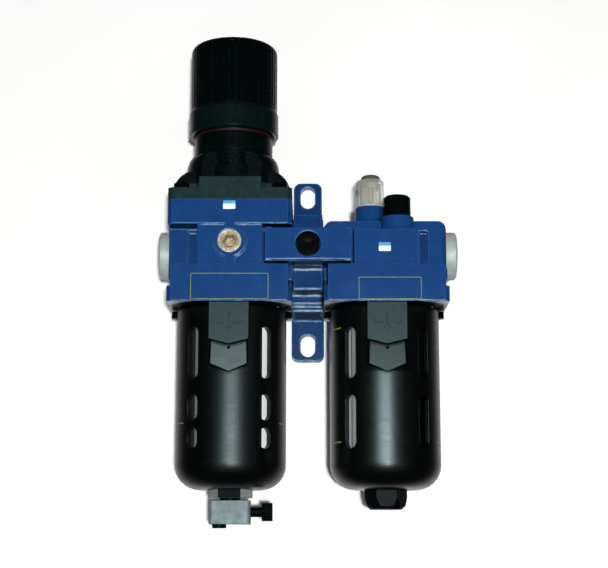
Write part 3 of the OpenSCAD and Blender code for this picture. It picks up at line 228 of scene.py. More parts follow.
def distance_from(tree, points, weights):
    """The least distance from any of some points, with a weight for each direction (0 leaves it out)."""
    place = add(tree, "ShaderNodeTexCoord")
    least = None
    for point in points:
        shift = add(tree, "ShaderNodeVectorMath", {1: point}, operation="SUBTRACT")
        flat = add(tree, "ShaderNodeVectorMath", {1: weights}, operation="MULTIPLY")
        length = add(tree, "ShaderNodeVectorMath", operation="LENGTH")
        tree.links.new(place.outputs["Object"], shift.inputs[0])
        tree.links.new(shift.outputs[0], flat.inputs[0])
        tree.links.new(flat.outputs[0], length.inputs[0])
        found = length.outputs["Value"]
        if least:
            smaller = add(tree, "ShaderNodeMath", operation="MINIMUM")
            tree.links.new(least, smaller.inputs[0])
            tree.links.new(found, smaller.inputs[1])
            found = smaller.outputs[0]
        least = found
    return least


def lower_edge_share(tree, soft_normal, start, end):
    """0 on flat and upper faces, 1 where the rounded normal leans down past an edge of a front face."""
    split = add(tree, "ShaderNodeSeparateXYZ")
    lean = add(tree, "ShaderNodeMapRange", {"From Min": start, "From Max": end})
    both = add(tree, "ShaderNodeMath", operation="MULTIPLY")
    tree.links.new(soft_normal, split.inputs[0])
    tree.links.new(split.outputs["Z"], lean.inputs["Value"])
    tree.links.new(lean.outputs["Result"], both.inputs[0])
    tree.links.new(edge_share(tree, soft_normal, 0.9995, 0.985), both.inputs[1])
    return both.outputs[0]


def shades_of(colours, tone):
    """The same colours, each multiplied by a tone."""
    return [tuple(tone * v for v in colour) for colour in colours]


def blue_enamel(name, edge, tone, glint_amount):
    """Enamel: two blues by coarse noise, painted shade in hollows and on faces that look down, paler glossy
    edges that are partly thinner paint and partly a painted highlight, painted glints on lower edges, and
    unpainted corners underneath.

    Tone deepens the blues, which on the bracket is a painted shade, and glint amount is how much of the lower
    edges carries painted glints.
    """
    finish, tree, shader = start_finish(name, {"IOR": 1.6, "Specular IOR Level": 0.1})
    paint_foot = body_foot + 1 * mm
    blues = (0.0062, 0.039, 0.146), (0.0080, 0.048, 0.176)
    coat = mottle(tree, grain(tree, 90), *shades_of(blues, tone))
    # Painted shade: hollows, where Ambient Occlusion finds them, take the blues at 0.44 of their tone.
    hollow_shade = mottle(tree, grain(tree, 90), *shades_of(blues, 0.44 * tone))
    # Painted shade: faces that look down take the blues at 0.16 of their tone.
    underside_shade = mottle(tree, grain(tree, 90), *shades_of(blues, 0.16 * tone))
    # Paler edges: partly thinner paint and partly a painted highlight.
    thin_paint_and_highlight = mottle(tree, grain(tree, 300), (0.010, 0.070, 0.25), (0.020, 0.110, 0.34))
    # Below the paint line: black round each module's axis and bare grey at the corners.
    metal = ramp(tree, distance_from(tree, [filter_axis, oil_axis], (20, 20, 0)),
                 [(0.78, (0.003, 0.004, 0.004)), (0.82, (0.46, 0.50, 0.50))])
    soft = relief(tree, shader, grain(tree, 900, 2.0), 0.02 * mm, edge)
    shade_occlusion = add(tree, "ShaderNodeAmbientOcclusion", {"Distance": 4 * mm}, samples=8)
    open_share = add(tree, "ShaderNodeMapRange", {"From Min": 0.35, "From Max": 0.9})
    tree.links.new(shade_occlusion.outputs["AO"], open_share.inputs["Value"])
    edge_wear_and_highlight = edge_share(tree, soft)
    shaded = blend_colours(tree, open_share.outputs["Result"], hollow_shade, coat)
    shaded = blend_colours(tree, underside_share(tree), shaded, underside_shade)
    edged = blend_colours(tree, edge_wear_and_highlight, shaded, thin_paint_and_highlight)
    # Painted glints: pale patches on lower edges stand in for the glints of the flash.
    pale = mottle(tree, grain(tree, 400), (0.16, 0.42, 0.62), (0.60, 0.84, 0.92))
    glint_share = add(tree, "ShaderNodeMath", operation="MULTIPLY")
    tree.links.new(lower_edge_share(tree, soft, -0.08, -0.35), glint_share.inputs[0])
    tree.links.new(spread(tree, grain(tree, 110, 3.0, (1, 1, 3)), glint_amount - 1, glint_amount), glint_share.inputs[1])
    edged = blend_colours(tree, glint_share.outputs[0], edged, pale)
    colour = blend_colours(tree, underside_share(tree, paint_foot), edged, metal)
    rubbed = add(tree, "ShaderNodeMath", operation="MULTIPLY")
    gloss = add(tree, "ShaderNodeMapRange", {"To Min": 0.06, "To Max": 1.0})
    tree.links.new(edge_share(tree, soft, 0.9998, 0.996), rubbed.inputs[0])
    tree.links.new(spread(tree, grain(tree, 70), 0.1, 1.0), rubbed.inputs[1])
    tree.links.new(rubbed.outputs[0], gloss.inputs["Value"])
    tree.links.new(gloss.outputs["Result"], shader.inputs["Specular IOR Level"])
    tree.links.new(colour, shader.inputs["Base Color"])
    tree.links.new(spread(tree, grain(tree, 160), 0.20, 0.28), shader.inputs["Roughness"])
    return finish


dress(blue_enamel("blue_enamel", 1.3 * mm, 1.0, 0.5), "regulator_body", "lubricator_body", "front_clamp")
# Painted shade: the bracket takes the same coat at three quarters of its tone.
dress(blue_enamel("bracket_shaded_enamel", 2.0 * mm, 0.75, 0.85), "spacer_bracket")

# %% [markdown]
# ## Black enamel, black casting and black plastic
# Three blacks sit side by side and must not look alike. The bonnet is a satin casting with a grainy skin,
# the knob and the plugs are moulded plastic, and the guards are glossy enamel on drawn metal.
# The first two share one recipe with different sheen, grain and edge radius. Two pieces change tone with
# height: the square foot of the bonnet is greyer than its bell, and the knob's ring is greyer than its grip.

# %% Three blacks


def plain_finish(name, shades, gloss, cells, depth, edge, specular, lower=None):
    """Two shades by noise, a span of roughness, grain of a cell count and depth, and soft edges.

    Lower is a height and two more shades, which the piece has below that height.
    """
    finish, tree, shader = start_finish(name, {"Specular IOR Level": specular})
    colour = mottle(tree, grain(tree, cells / 6), *shades)
    if lower:
        height, *low_shades = lower
        low_colour = mottle(tree, grain(tree, cells / 6), *low_shades)
        share = axis_share(tree, "Z", height, height + 1 * mm)
        colour = blend_colours(tree, share, low_colour, colour)
    tree.links.new(colour, shader.inputs["Base Color"])
    tree.links.new(spread(tree, grain(tree, cells / 4), *gloss), shader.inputs["Roughness"])
    relief(tree, shader, grain(tree, cells, 2.0), depth, edge)
    return finish


bonnet_foot_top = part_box("regulator_body")[1].z + 13 * mm
knob_ring_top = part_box("control_knob")[0].z + 14 * mm
foot_grey = (bonnet_foot_top, (0.008, 0.021, 0.023), (0.014, 0.031, 0.033))
ring_grey = (knob_ring_top, (0.0014, 0.0050, 0.0054), (0.0026, 0.0076, 0.0082))
bonnet_casting = plain_finish("bonnet_casting", ((0.0005, 0.0020, 0.0023), (0.0014, 0.0042, 0.0046)),
                              (0.24, 0.32), 1400, 0.02 * mm, 0.7 * mm, 0.12, foot_grey)
knob_plastic = plain_finish("knob_plastic", ((0.0002, 0.0012, 0.0016), (0.0006, 0.0024, 0.0030)),
                            (0.22, 0.30), 2200, 0.01 * mm, 0.5 * mm, 0.2, ring_grey)
plug_plastic = plain_finish("plug_plastic", ((0.0006, 0.0016, 0.0018), (0.0016, 0.0034, 0.0038)),
                            (0.20, 0.28), 2200, 0.01 * mm, 0.8 * mm, 0.03)
latch_plastic = plain_finish("latch_plastic", ((0.010, 0.024, 0.024), (0.017, 0.036, 0.036)),
                             (0.30, 0.38), 2200, 0.02 * mm, 0.3 * mm, 0.2)
rubber_finish = plain_finish("rubber_finish", ((0.010, 0.010, 0.010), (0.020, 0.020, 0.020)),
                             (0.70, 0.85), 2600, 0.04 * mm, 0.3 * mm, 0.25)
dress(bonnet_casting, "bonnet")
dress(knob_plastic, "control_knob")
dress(plug_plastic, "fill_plug", "bowl_plug", "drain_screw", "drain_nozzle", "drain_fitting",
      "valve_cage", "deflector", "baffle")
dress(latch_plastic, "filter_lock_button", "lubricator_lock_button")
dress(rubber_finish, "spacer_seals", "diaphragm", "filter_bowl_seal", "lubricator_bowl_seal",
      "drain_screw_seal", "sight_dome_seal", "fill_plug_seal", "flow_damper")

# %% [markdown]
# The enamel of the guards has streaks round the bowl, which a noise squeezed along Z gives. An Ambient
# Occlusion node takes the gloss away in the recess round the latch pad, a painted shade, and the pad itself
# is rubbed to a sheen of its own. So the specular level follows that node and the place of the pad along Z
# and Y.

# %% Enamel of the guards
guard_shades = ((0.0003, 0.0005, 0.0006), (0.0007, 0.0011, 0.0012))
pad_heights = body_foot - 39 * mm, body_foot - 19 * mm
pad_depths = filter_axis.y - 28 * mm, filter_axis.y - 29.5 * mm
pad_blur = 0.5 * mm


def guard_enamel(name, gloss, shine, pad_shine):
    """Black enamel with a span of roughness, and a specular level for the guard and one for its pad."""
    finish, tree, shader = start_finish(name, {"Specular IOR Level": shine})
    colour = mottle(tree, grain(tree, 120), *guard_shades)
    streaks = grain(tree, 500, 2.0, (0.2, 0.2, 2.5))
    # Painted shade: less gloss where the Ambient Occlusion node finds a recess.
    shade_occlusion = add(tree, "ShaderNodeAmbientOcclusion", {"Distance": 3 * mm}, samples=8)
    open_share = add(tree, "ShaderNodeMapRange", {"From Min": 0.70, "From Max": 0.97})
    foot = axis_share(tree, "Z", pad_heights[0], pad_heights[0] + pad_blur)
    top = axis_share(tree, "Z", pad_heights[1] + pad_blur, pad_heights[1])
    front = axis_share(tree, "Y", *pad_depths)
    band = add(tree, "ShaderNodeMath", operation="MULTIPLY")
    pad = add(tree, "ShaderNodeMath", operation="MULTIPLY")
    level = add(tree, "ShaderNodeMapRange", {"To Min": shine, "To Max": pad_shine})
    shown = add(tree, "ShaderNodeMath", operation="MULTIPLY")
    tree.links.new(foot, band.inputs[0])
    tree.links.new(top, band.inputs[1])
    tree.links.new(band.outputs[0], pad.inputs[0])
    tree.links.new(front, pad.inputs[1])
    tree.links.new(pad.outputs[0], level.inputs["Value"])
    tree.links.new(shade_occlusion.outputs["AO"], open_share.inputs["Value"])
    tree.links.new(open_share.outputs["Result"], shown.inputs[0])
    tree.links.new(level.outputs["Result"], shown.inputs[1])
    tree.links.new(shown.outputs[0], shader.inputs["Specular IOR Level"])
    tree.links.new(colour, shader.inputs["Base Color"])
    tree.links.new(spread(tree, streaks, *gloss), shader.inputs["Roughness"])
    relief(tree, shader, grain(tree, 700, 2.0), 0.004 * mm, 0.6 * mm)
    return finish


dress(guard_enamel("filter_enamel", (0.32, 0.40), 0.55, 0.62), "filter_guard")
dress(guard_enamel("oil_enamel", (0.28, 0.36), 0.72, 0.32), "lubricator_guard")

# %% [markdown]
# ## Metals
# The port bosses and the drain block are bare alloy, the gauge plug is turned brass, and screws and springs
# are steel. Turned faces carry fine rings about their own axis. A wave texture in its rings mode draws them,
# once a Mapping node has moved the pattern's centre to the axis of the piece. The nut under the left bowl has
# painted reflections: pale paper on its sides and a dark room on the flat in front, which a mask on its place
# along X and Y gives.

# %% Metals


def turned_rings(tree, centre, axis, cells):
    """Rings about an axis through a point: a sine of the distance from that axis."""
    place = add(tree, "ShaderNodeTexCoord")
    shift = add(tree, "ShaderNodeMapping", {"Location": [-v for v in centre]})
    rings = add(tree, "ShaderNodeTexWave", {"Scale": cells, "Distortion": 0.6, "Detail": 1.0},
                wave_type="RINGS", rings_direction=axis)
    tree.links.new(place.outputs["Object"], shift.inputs["Vector"])
    tree.links.new(shift.outputs["Vector"], rings.inputs["Vector"])
    return rings.outputs["Fac"]


def metal_finish(name, shades, gloss, metallic, pattern=None, cells=900, depth=0.02 * mm, edge=0.4 * mm):
    """A metal: two shades by noise, a span of roughness, and turned rings or plain grain as relief."""
    finish, tree, shader = start_finish(name, {"Metallic": metallic})
    colour = mottle(tree, grain(tree, cells / 3), *shades)
    tree.links.new(colour, shader.inputs["Base Color"])
    tree.links.new(spread(tree, grain(tree, cells / 5), *gloss), shader.inputs["Roughness"])
    height = turned_rings(tree, *pattern) if pattern else grain(tree, cells, 2.0)
    relief(tree, shader, height, depth, edge)
    return finish


def nut_finish():
    """Plated steel with painted reflections: paper on its sides, a dark room on the front flat, by place in X
    and Y.
    """
    finish, tree, shader = start_finish("nut_plating", {"Specular IOR Level": 0.02})
    low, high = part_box("drain_nut")
    half_flat = (high.x - low.x) / 4
    # Painted reflections: pale paper on the sides and a dark room on the flat in front.
    paper_reflection = mottle(tree, grain(tree, 400), (0.20, 0.22, 0.22), (0.32, 0.34, 0.34))
    dark_reflection = mottle(tree, grain(tree, 400), (0.002, 0.003, 0.004), (0.005, 0.007, 0.008))
    place = add(tree, "ShaderNodeTexCoord")
    shift = add(tree, "ShaderNodeMapping", {"Location": (-filter_axis.x, 0, 0)})
    split = add(tree, "ShaderNodeSeparateXYZ")
    aside = add(tree, "ShaderNodeMath", operation="ABSOLUTE")
    inner = add(tree, "ShaderNodeMath", {1: half_flat}, operation="LESS_THAN")
    ahead = add(tree, "ShaderNodeMath", {1: low.y + 1 * mm}, operation="LESS_THAN")
    both = add(tree, "ShaderNodeMath", operation="MULTIPLY")
    tree.links.new(place.outputs["Object"], shift.inputs["Vector"])
    tree.links.new(shift.outputs["Vector"], split.inputs[0])
    tree.links.new(split.outputs["X"], aside.inputs[0])
    tree.links.new(aside.outputs[0], inner.inputs[0])
    tree.links.new(split.outputs["Y"], ahead.inputs[0])
    tree.links.new(inner.outputs[0], both.inputs[0])
    tree.links.new(ahead.outputs[0], both.inputs[1])
    tree.links.new(blend_colours(tree, both.outputs[0], paper_reflection, dark_reflection), shader.inputs["Base Color"])
    tree.links.new(spread(tree, grain(tree, 180), 0.30, 0.42), shader.inputs["Roughness"])
    relief(tree, shader, grain(tree, 900, 2.0), 0.01 * mm, 0.5 * mm)
    return finish


def tarnished_plug():
    """Brass pale at the rim and brown inside, with a painted glint at the middle, by the distance from its
    own axis.
    """
    finish, tree, shader = start_finish("tarnished_brass", {"Metallic": 0.3, "Specular IOR Level": 0.6})
    low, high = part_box("gauge_plug")
    per_radius = 2 / (high.x - low.x)
    share = distance_from(tree, [middle("gauge_plug")], (per_radius, 0, per_radius))
    # The pale middle is a painted glint in the socket; the rings further out are the brass's own colour.
    clean_and_glint = ramp(tree, share, [(0.25, (0.72, 0.62, 0.42)), (0.5, (0.40, 0.29, 0.15)),
                               (0.75, (0.62, 0.52, 0.33)), (0.95, (0.80, 0.76, 0.60))])
    brown = ramp(tree, share, [(0.25, (0.30, 0.20, 0.09)), (0.5, (0.09, 0.06, 0.03)),
                               (0.75, (0.24, 0.18, 0.10)), (0.95, (0.42, 0.38, 0.28))])
    spots = spread(tree, grain(tree, 900, 4.0), 0.0, 1.0)
    tree.links.new(blend_colours(tree, spots, brown, clean_and_glint), shader.inputs["Base Color"])
    tree.links.new(spread(tree, grain(tree, 300), 0.22, 0.36), shader.inputs["Roughness"])
    relief(tree, shader, turned_rings(tree, *plug_ring), 0.05 * mm, 0.5 * mm)
    return finish


port_ring = (middle("inlet_port_bush"), "X", 700)
plug_ring = (middle("gauge_plug"), "Y", 900)
dress(metal_finish("port_alloy", ((0.38, 0.43, 0.41), (0.48, 0.54, 0.51)), (0.42, 0.54), 0.2, port_ring),
      "inlet_port_bush", "outlet_port_bush")
dress(metal_finish("drain_alloy", ((0.11, 0.145, 0.153), (0.18, 0.22, 0.23)), (0.42, 0.55), 0.2),
      "drain_block")
dress(metal_finish("turned_brass", ((0.32, 0.27, 0.17), (0.46, 0.40, 0.27)), (0.3, 0.42), 0.5, plug_ring),
      "valve_seat", "valve_poppet", "drip_tube", "siphon_strainer")
dress(tarnished_plug(), "gauge_plug")
dress(metal_finish("plated_steel", ((0.30, 0.31, 0.32), (0.44, 0.45, 0.46)), (0.28, 0.4), 0.9),
      "adjusting_screw", "spring_seat", "diaphragm_plate", "drip_needle", "check_ball",
      "regulating_spring", "valve_spring", "filter_lock_spring", "lubricator_lock_spring")
dress(plain_finish("blackened_steel", ((0.0006, 0.0009, 0.0009), (0.0014, 0.0019, 0.0019)),
                   (0.16, 0.24), 1600, 0.01 * mm, 0.5 * mm, 0.10), "clamp_screw", "bonnet_screws")
dress(nut_finish(), "drain_nut")

# %% [markdown]
# ## Clear plastic, coloured plastic and the porous element
# The bowls and the dome are clear polycarbonate, slightly hazed. Glass with refraction would need light that
# bends through several walls, which is noisy and leaves the inside dark. A thin clear wall hardly bends what
# is behind it, so a low Alpha with a glossy skin gives the same look and lets the light in. Films cover the
# bowls between places along X: near-white and grey in the filter bowl, dark oil and pale grey haze in the
# lubricator.

# %% Clear and coloured plastics
film_blur = 0.4 * mm


def clear_plastic(name, colour, rim_colour, alphas, gloss, films=()):
    """A clear wall: nearly nothing face on, and a denser, darker rim where it is seen edge on.

    Films cover the wall between two places along X. Each has those places and two shades.
    """
    finish, tree, shader = start_finish(name, {"Specular IOR Level": 0.3})
    dull = [0.85 * v for v in colour]
    tint = mottle(tree, grain(tree, 60, 4.0, (1, 1, 0.25)), dull, colour)
    rim = mottle(tree, grain(tree, 200), [0.7 * v for v in rim_colour], rim_colour)
    lean = add(tree, "ShaderNodeLayerWeight", {"Blend": 0.4})
    solid = add(tree, "ShaderNodeMapRange", {"To Min": alphas[0], "To Max": alphas[1]})
    tree.links.new(lean.outputs["Facing"], solid.inputs["Value"])
    colour = blend_colours(tree, lean.outputs["Facing"], tint, rim)
    dense = solid.outputs["Result"]
    for low, high, dark, light in films:
        coat = mottle(tree, grain(tree, 80, 3.0, (1, 1, 0.2)), dark, light)
        patch = add(tree, "ShaderNodeMath", operation="MULTIPLY")
        thick = add(tree, "ShaderNodeMath", operation="MAXIMUM")
        tree.links.new(axis_share(tree, "X", low, low + film_blur), patch.inputs[0])
        tree.links.new(axis_share(tree, "X", high, high - film_blur), patch.inputs[1])
        colour = blend_colours(tree, patch.outputs[0], colour, coat)
        tree.links.new(patch.outputs[0], thick.inputs[0])
        tree.links.new(dense, thick.inputs[1])
        dense = thick.outputs[0]
    tree.links.new(dense, shader.inputs["Alpha"])
    tree.links.new(colour, shader.inputs["Base Color"])
    tree.links.new(spread(tree, grain(tree, 120), *gloss), shader.inputs["Roughness"])
    return finish


def plain_plastic(name, shades, gloss, cells, depth):
    """A coloured plastic: two shades by noise, a span of roughness, and fine grain."""
    return plain_finish(name, shades, gloss, cells, depth, 0.3 * mm, 0.5)


def film(axis, low, high, dark, light):
    """A film between two distances from an axis along X, in two greys."""
    greys = [tuple(v * part for part in (0.96, 1.0, 1.0)) for v in (dark, light)]
    return axis.x + low * mm, axis.x + high * mm, *greys


bowl_tints = (0.30, 0.32, 0.32), (0.16, 0.18, 0.18)
filter_films = [film(filter_axis, 18, 40, 0.78, 0.92), film(filter_axis, -19.5, -8, 0.13, 0.20)]
oil_films = [film(oil_axis, 10, 40, 0.001, 0.003), film(oil_axis, -40, -19.5, 0.30, 0.44),
             film(oil_axis, -19.5, -8, 0.16, 0.28)]
dress(clear_plastic("bowl_clear", *bowl_tints, (0.005, 0.08), (0.08, 0.2), filter_films), "filter_bowl")
dress(clear_plastic("oily_clear", *bowl_tints, (0.005, 0.08), (0.08, 0.2), oil_films), "lubricator_bowl")
dress(clear_plastic("dome_clear", (0.80, 0.80, 0.72), (0.12, 0.12, 0.09), (0.14, 0.95), (0.06, 0.14)),
      "sight_dome")
ring_shades = (0.02, 0.003, 0.002), (0.035, 0.005, 0.003)
adjuster_shades = (0.05, 0.055, 0.053), (0.09, 0.095, 0.09)
siphon_shades = (0.60, 0.58, 0.48), (0.72, 0.70, 0.60)
element_shades = (0.62, 0.58, 0.50), (0.80, 0.77, 0.70)
dress(plain_plastic("ring_orange", ring_shades, (0.4, 0.5), 1200, 0.02 * mm), "lock_ring")
dress(plain_plastic("adjuster_grey", adjuster_shades, (0.3, 0.4), 1200, 0.02 * mm), "drip_adjuster")
dress(plain_plastic("siphon_milky", siphon_shades, (0.4, 0.5), 900, 0.02 * mm), "siphon_tube")
dress(plain_plastic("element_porous", element_shades, (0.8, 0.95), 1500, 0.3 * mm), "filter_element")

# %% [markdown]
# ## A kit for thin pieces
# Printed lines and stickers are thinner than a solid is worth, so they are made here. Each one is a grid of
# points worked out as whole arrays: a small profile carried along a path, or rings that shrink to a middle.
# One helper joins a grid of rows and columns into faces, and can close it both ways.

# %% Grids to meshes


def grid_faces(rows, columns, close_rows):
    """Quads between neighbours of a grid whose columns run round and close, and whose rows close if asked."""
    row = np.arange(rows if close_rows else rows - 1)[:, None]
    column = np.arange(columns)[None, :]
    after = (row + 1) % rows
    beside = (column + 1) % columns
    here = row * columns
    ahead = after * columns
    corners = [here + column, here + beside, ahead + beside, ahead + column]
    return np.stack(np.broadcast_arrays(*corners), -1).reshape(-1, 4).tolist()


def new_piece(name, points, faces, finish, body):
    """A mesh piece from points and faces, with its faces turned outwards, that rides on a body."""
    mesh = bpy.data.meshes.new(name)
    mesh.from_pydata(points.reshape(-1, 3).tolist(), [], faces)
    mesh.validate()
    mesh.materials.append(finish)
    piece = bpy.data.objects.new(name, mesh)
    bpy.context.scene.collection.objects.link(piece)
    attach(piece, body)
    print(name, "has", len(faces), "faces")
    return piece


def rounded_outline(width, height, corner, steps=8):
    """Points round a rectangle with round corners, and the outward direction at each of them.

    Each corner is a quarter circle about a centre that lies one corner radius inside both sides.
    """
    turn = (np.arange(4)[:, None] + np.linspace(0, 1, steps)[None, :]).ravel() * math.pi / 2
    out = np.stack([np.cos(turn), np.sin(turn)], 1)
    side = np.repeat([[1, 1], [-1, 1], [-1, -1], [1, -1]], steps, 0)
    centre = side * [width / 2 - corner, height / 2 - corner]
    return centre + corner * out, out


# %% [markdown]
# ## Printed frames on the bodies
# Each body has an empty rectangle printed low on its front, a thin yellow-green line.
# The line is a flat bead: a profile with four corners, carried round the rounded outline.

# %% Yellow print


def print_ink(name, shades):
    """Screen-printed ink: two shades by fine noise, and matt."""
    return plain_finish(name, shades, (0.5, 0.65), 1800, 0.01 * mm, 0.1 * mm, 0.35)


ink_rise = 0.06 * mm
yellow_ink = print_ink("yellow_ink", ((0.14, 0.20, 0.03), (0.26, 0.31, 0.05)))


def printed_frame(name, low, high, face, width, finish):
    """A printed rectangle between two corners (x, z) on a face that looks along -Y.

    Every point of the outline takes four profile points: inner and outer edge, on the face and above it.
    """
    line, out = rounded_outline(high[0] - low[0], high[1] - low[1], 0.6 * mm)
    centre = (np.array(low) + np.array(high)) / 2
    offset = np.array([-0.5, -0.5, 0.5, 0.5]) * width
    rise = np.array([0, 1, 1, 0]) * ink_rise
    flat = centre + line[:, None, :] + out[:, None, :] * offset[None, :, None]
    depth = np.broadcast_to(face - rise, flat.shape[:2])
    points = np.stack([flat[..., 0], depth, flat[..., 1]], -1)
    return new_piece(name, points, grid_faces(len(line), 4, True), finish, "frame")


line_width = 0.36 * mm
regulator_corners = (-65.3 * mm, -31.4 * mm), (-22.2 * mm, -17.0 * mm)
lubricator_corners = (28.4 * mm, -31.4 * mm), (63.0 * mm, -19.2 * mm)
printed_frame("regulator_frame", *regulator_corners, front_face, line_width, yellow_ink)
printed_frame("lubricator_frame", *lubricator_corners, front_face, line_width, yellow_ink)

# %% [markdown]
# ## Blank stickers
# Two small blank stickers sit on the front, one above the gauge port and one on the lubricator. Each is white
# with a pale blue band on top. A sticker is a rounded rectangle with a soft edge, so its rings shrink from
# the edge to the middle while they rise.

# %% Stickers


def sticker(name, low, high, face, finish):
    """A blank sticker between two corners (x, z) on a face that looks along -Y.

    Ring k is the outline scaled by a share s. Its height is the thickness times the root of 1 - s to the
    24th power, which rises steeply at the edge and is flat inside.
    """
    line, _ = rounded_outline(high[0] - low[0], high[1] - low[1], 0.5 * mm)
    centre = (np.array(low) + np.array(high)) / 2
    share = np.array([1.0, 0.995, 0.985, 0.96, 0.7, 0.35])
    flat = centre + line[None, :, :] * share[:, None, None]
    rise = 0.12 * mm * np.sqrt(1 - share ** 24)
    depth = np.broadcast_to((face - rise)[:, None], flat.shape[:2])
    points = np.stack([flat[..., 0], depth, flat[..., 1]], -1)
    count = len(line)
    lid = list(range((len(share) - 1) * count, len(share) * count))
    foot = list(range(count))[::-1]
    return new_piece(name, points, grid_faces(len(share), count, False) + [lid, foot], finish, "frame")


def sticker_paper(name, height):
    """White below a height and pale blue above it, both matt with fine grain."""
    blue_band = (0.05, 0.30, 0.52), (0.09, 0.38, 0.62)
    white = (height, (0.72, 0.80, 0.84), (0.86, 0.92, 0.94))
    return plain_finish(name, blue_band, (0.5, 0.65), 1800, 0.01 * mm, 0.1 * mm, 0.35, white)


pad_face = front_face + 1 * mm
low_sticker = sticker_paper("low_sticker_paper", -1.6 * mm)
high_sticker = sticker_paper("high_sticker_paper", 22.4 * mm)
sticker("regulator_sticker", (-47.8 * mm, 19.9 * mm), (-40.8 * mm, 24.9 * mm), front_face, high_sticker)
sticker("lubricator_sticker", (39.6 * mm, -4.1 * mm), (46.4 * mm, 1.0 * mm), pad_face, low_sticker)

# %% [markdown]
# ## Level marks on the guards
# Short yellow marks beside the windows show how full a bowl may get. They are printed on a round guard, so a
# mark is a patch of a cylinder: its angle and its height are the two parameters of the grid.

# %% Level marks


def level_mark(name, axis, angles, heights, finish, body, steps=12):
    """A mark on a guard from one angle to another and between two heights.

    Angle 0 looks along -Y and grows towards +X. The profile (height, radius) is a flat bead with four
    corners.
    """
    turn = np.radians(np.linspace(*angles, steps))
    radius = guard_r + np.array([0, 1, 1, 0]) * ink_rise
    height = np.array([heights[0], heights[0], heights[1], heights[1]])
    x = axis.x + np.sin(turn)[:, None] * radius
    y = axis.y - np.cos(turn)[:, None] * radius
    z = np.broadcast_to(height, x.shape)
    corners = len(radius)
    first_end = list(range(corners))
    last_end = [steps * corners - 1 - k for k in range(corners)]
    faces = grid_faces(steps, corners, False) + [first_end, last_end]
    return new_piece(name, np.stack([x, y, z], -1), faces, finish, body)


def mark_row(name, axis, angles, heights, tall, finish, body):
    """Marks of one height at several places up the guard."""
    for number, z in enumerate(heights):
        level_mark(f"{name}_{number + 1}", axis, angles, (z - tall / 2, z + tall / 2), finish, body)


tick = 0.7 * mm
water_level = [-98.8 * mm]
oil_levels = [-45.2 * mm, -109.4 * mm]
mark_row("filter_mark_left", filter_axis, (-75, -54), water_level, tick, yellow_ink, "filter_cup")
mark_row("filter_mark_right", filter_axis, (62, 79), water_level, tick, yellow_ink, "filter_cup")
mark_row("oil_mark_left", oil_axis, (-75, -54), oil_levels, tick, yellow_ink, "oil_cup")
mark_row("oil_mark_right", oil_axis, (62, 79), oil_levels, tick, yellow_ink, "oil_cup")

# %% [markdown]
# ## Paper, lamp, world and camera
# The unit lies on its back on white paper and is seen from in front. In this frame the paper is an upright
# sheet that touches the wall face of the bracket. Its back is clear, so that other views can look at the
# bracket from behind, and only views see its front, so that it takes the shadow but shades nothing itself.

# %% Paper


def paper_sheet(half):
    """A square sheet on the wall face, with its front towards -Y."""
    mesh = bpy.data.meshes.new("paper")
    back = cad_box[1].y + 0.2 * mm
    corners = [(-half, back, -half), (half, back, -half), (half, back, half), (-half, back, half)]
    mesh.from_pydata(corners, [], [[0, 1, 2, 3]])
    sheet = bpy.data.objects.new("paper", mesh)
    bpy.context.scene.collection.objects.link(sheet)
    return sheet


def paper_finish():
    """White paper with a faint tone, clear from behind and to all rays but those of a view."""
    finish, tree, shader = start_finish("paper_white", {"Roughness": 0.9, "Specular IOR Level": 0.1})
    tone = mottle(tree, grain(tree, 9), (0.92, 0.92, 0.90), (0.96, 0.96, 0.95))
    tree.links.new(tone, shader.inputs["Base Color"])
    path = add(tree, "ShaderNodeLightPath")
    seen = add(tree, "ShaderNodeMath", operation="MAXIMUM")
    true = add(tree, "ShaderNodeNewGeometry")
    front = add(tree, "ShaderNodeMath", {0: 1.0}, operation="SUBTRACT")
    shown = add(tree, "ShaderNodeMath", operation="MULTIPLY")
    gone = add(tree, "ShaderNodeBsdfTransparent")
    mix = add(tree, "ShaderNodeMixShader")
    tree.links.new(path.outputs["Is Camera Ray"], seen.inputs[0])
    tree.links.new(path.outputs["Is Transmission Ray"], seen.inputs[1])
    tree.links.new(true.outputs["Backfacing"], front.inputs[1])
    tree.links.new(seen.outputs[0], shown.inputs[0])
    tree.links.new(front.outputs[0], shown.inputs[1])
    tree.links.new(shown.outputs[0], mix.inputs["Fac"])
    tree.links.new(gone.outputs[0], mix.inputs[1])
    tree.links.new(shader.outputs[0], mix.inputs[2])
    tree.links.new(mix.outputs[0], tree.nodes["Material Output"].inputs["Surface"])
    return finish


half_sheet = 1.2
sheet = paper_sheet(half_sheet)
sheet.data.materials.append(paper_finish())
print("paper at y", round(sheet.data.vertices[0].co.y, 4))

# %% [markdown]
# The light comes from beside the camera, as a flash's does: flat faces that look forward are lit evenly,
# round sides fall off to black, and the shadow is a thin line beside the unit. Gloss asks for something
# else. On the round guards the photograph shows one soft upright band with dark on both sides, and none on
# the flat fronts, which a low wide panel in front gives. So a small lamp lights matt surfaces, and the panel
# is seen by gloss alone. So is a weak lamp at the flash's own place, which leaves small glints on rounded
# edges. A last lamp behind gives form to views of the back.
# The world is dark in front, as a room is behind a camera, and pale behind, where the paper lies.

# %% Lamps and world


def area_lamp(name, place, target, size, watts, colour=(1, 1, 1)):
    """A rectangular lamp at a place, turned towards a target."""
    data = bpy.data.lights.new(name, "AREA")
    data.shape = "RECTANGLE"
    data.size, data.size_y = size
    data.energy = watts
    data.color = colour
    lamp = bpy.data.objects.new(name, data)
    lamp.location = place
    toward = np.array(target) - np.array(place)
    flat = math.hypot(toward[0], toward[1])
    lamp.rotation_euler = (math.pi / 2 + math.atan2(toward[2], flat), 0, -math.atan2(toward[0], toward[1]))
    bpy.context.scene.collection.objects.link(lamp)
    return lamp


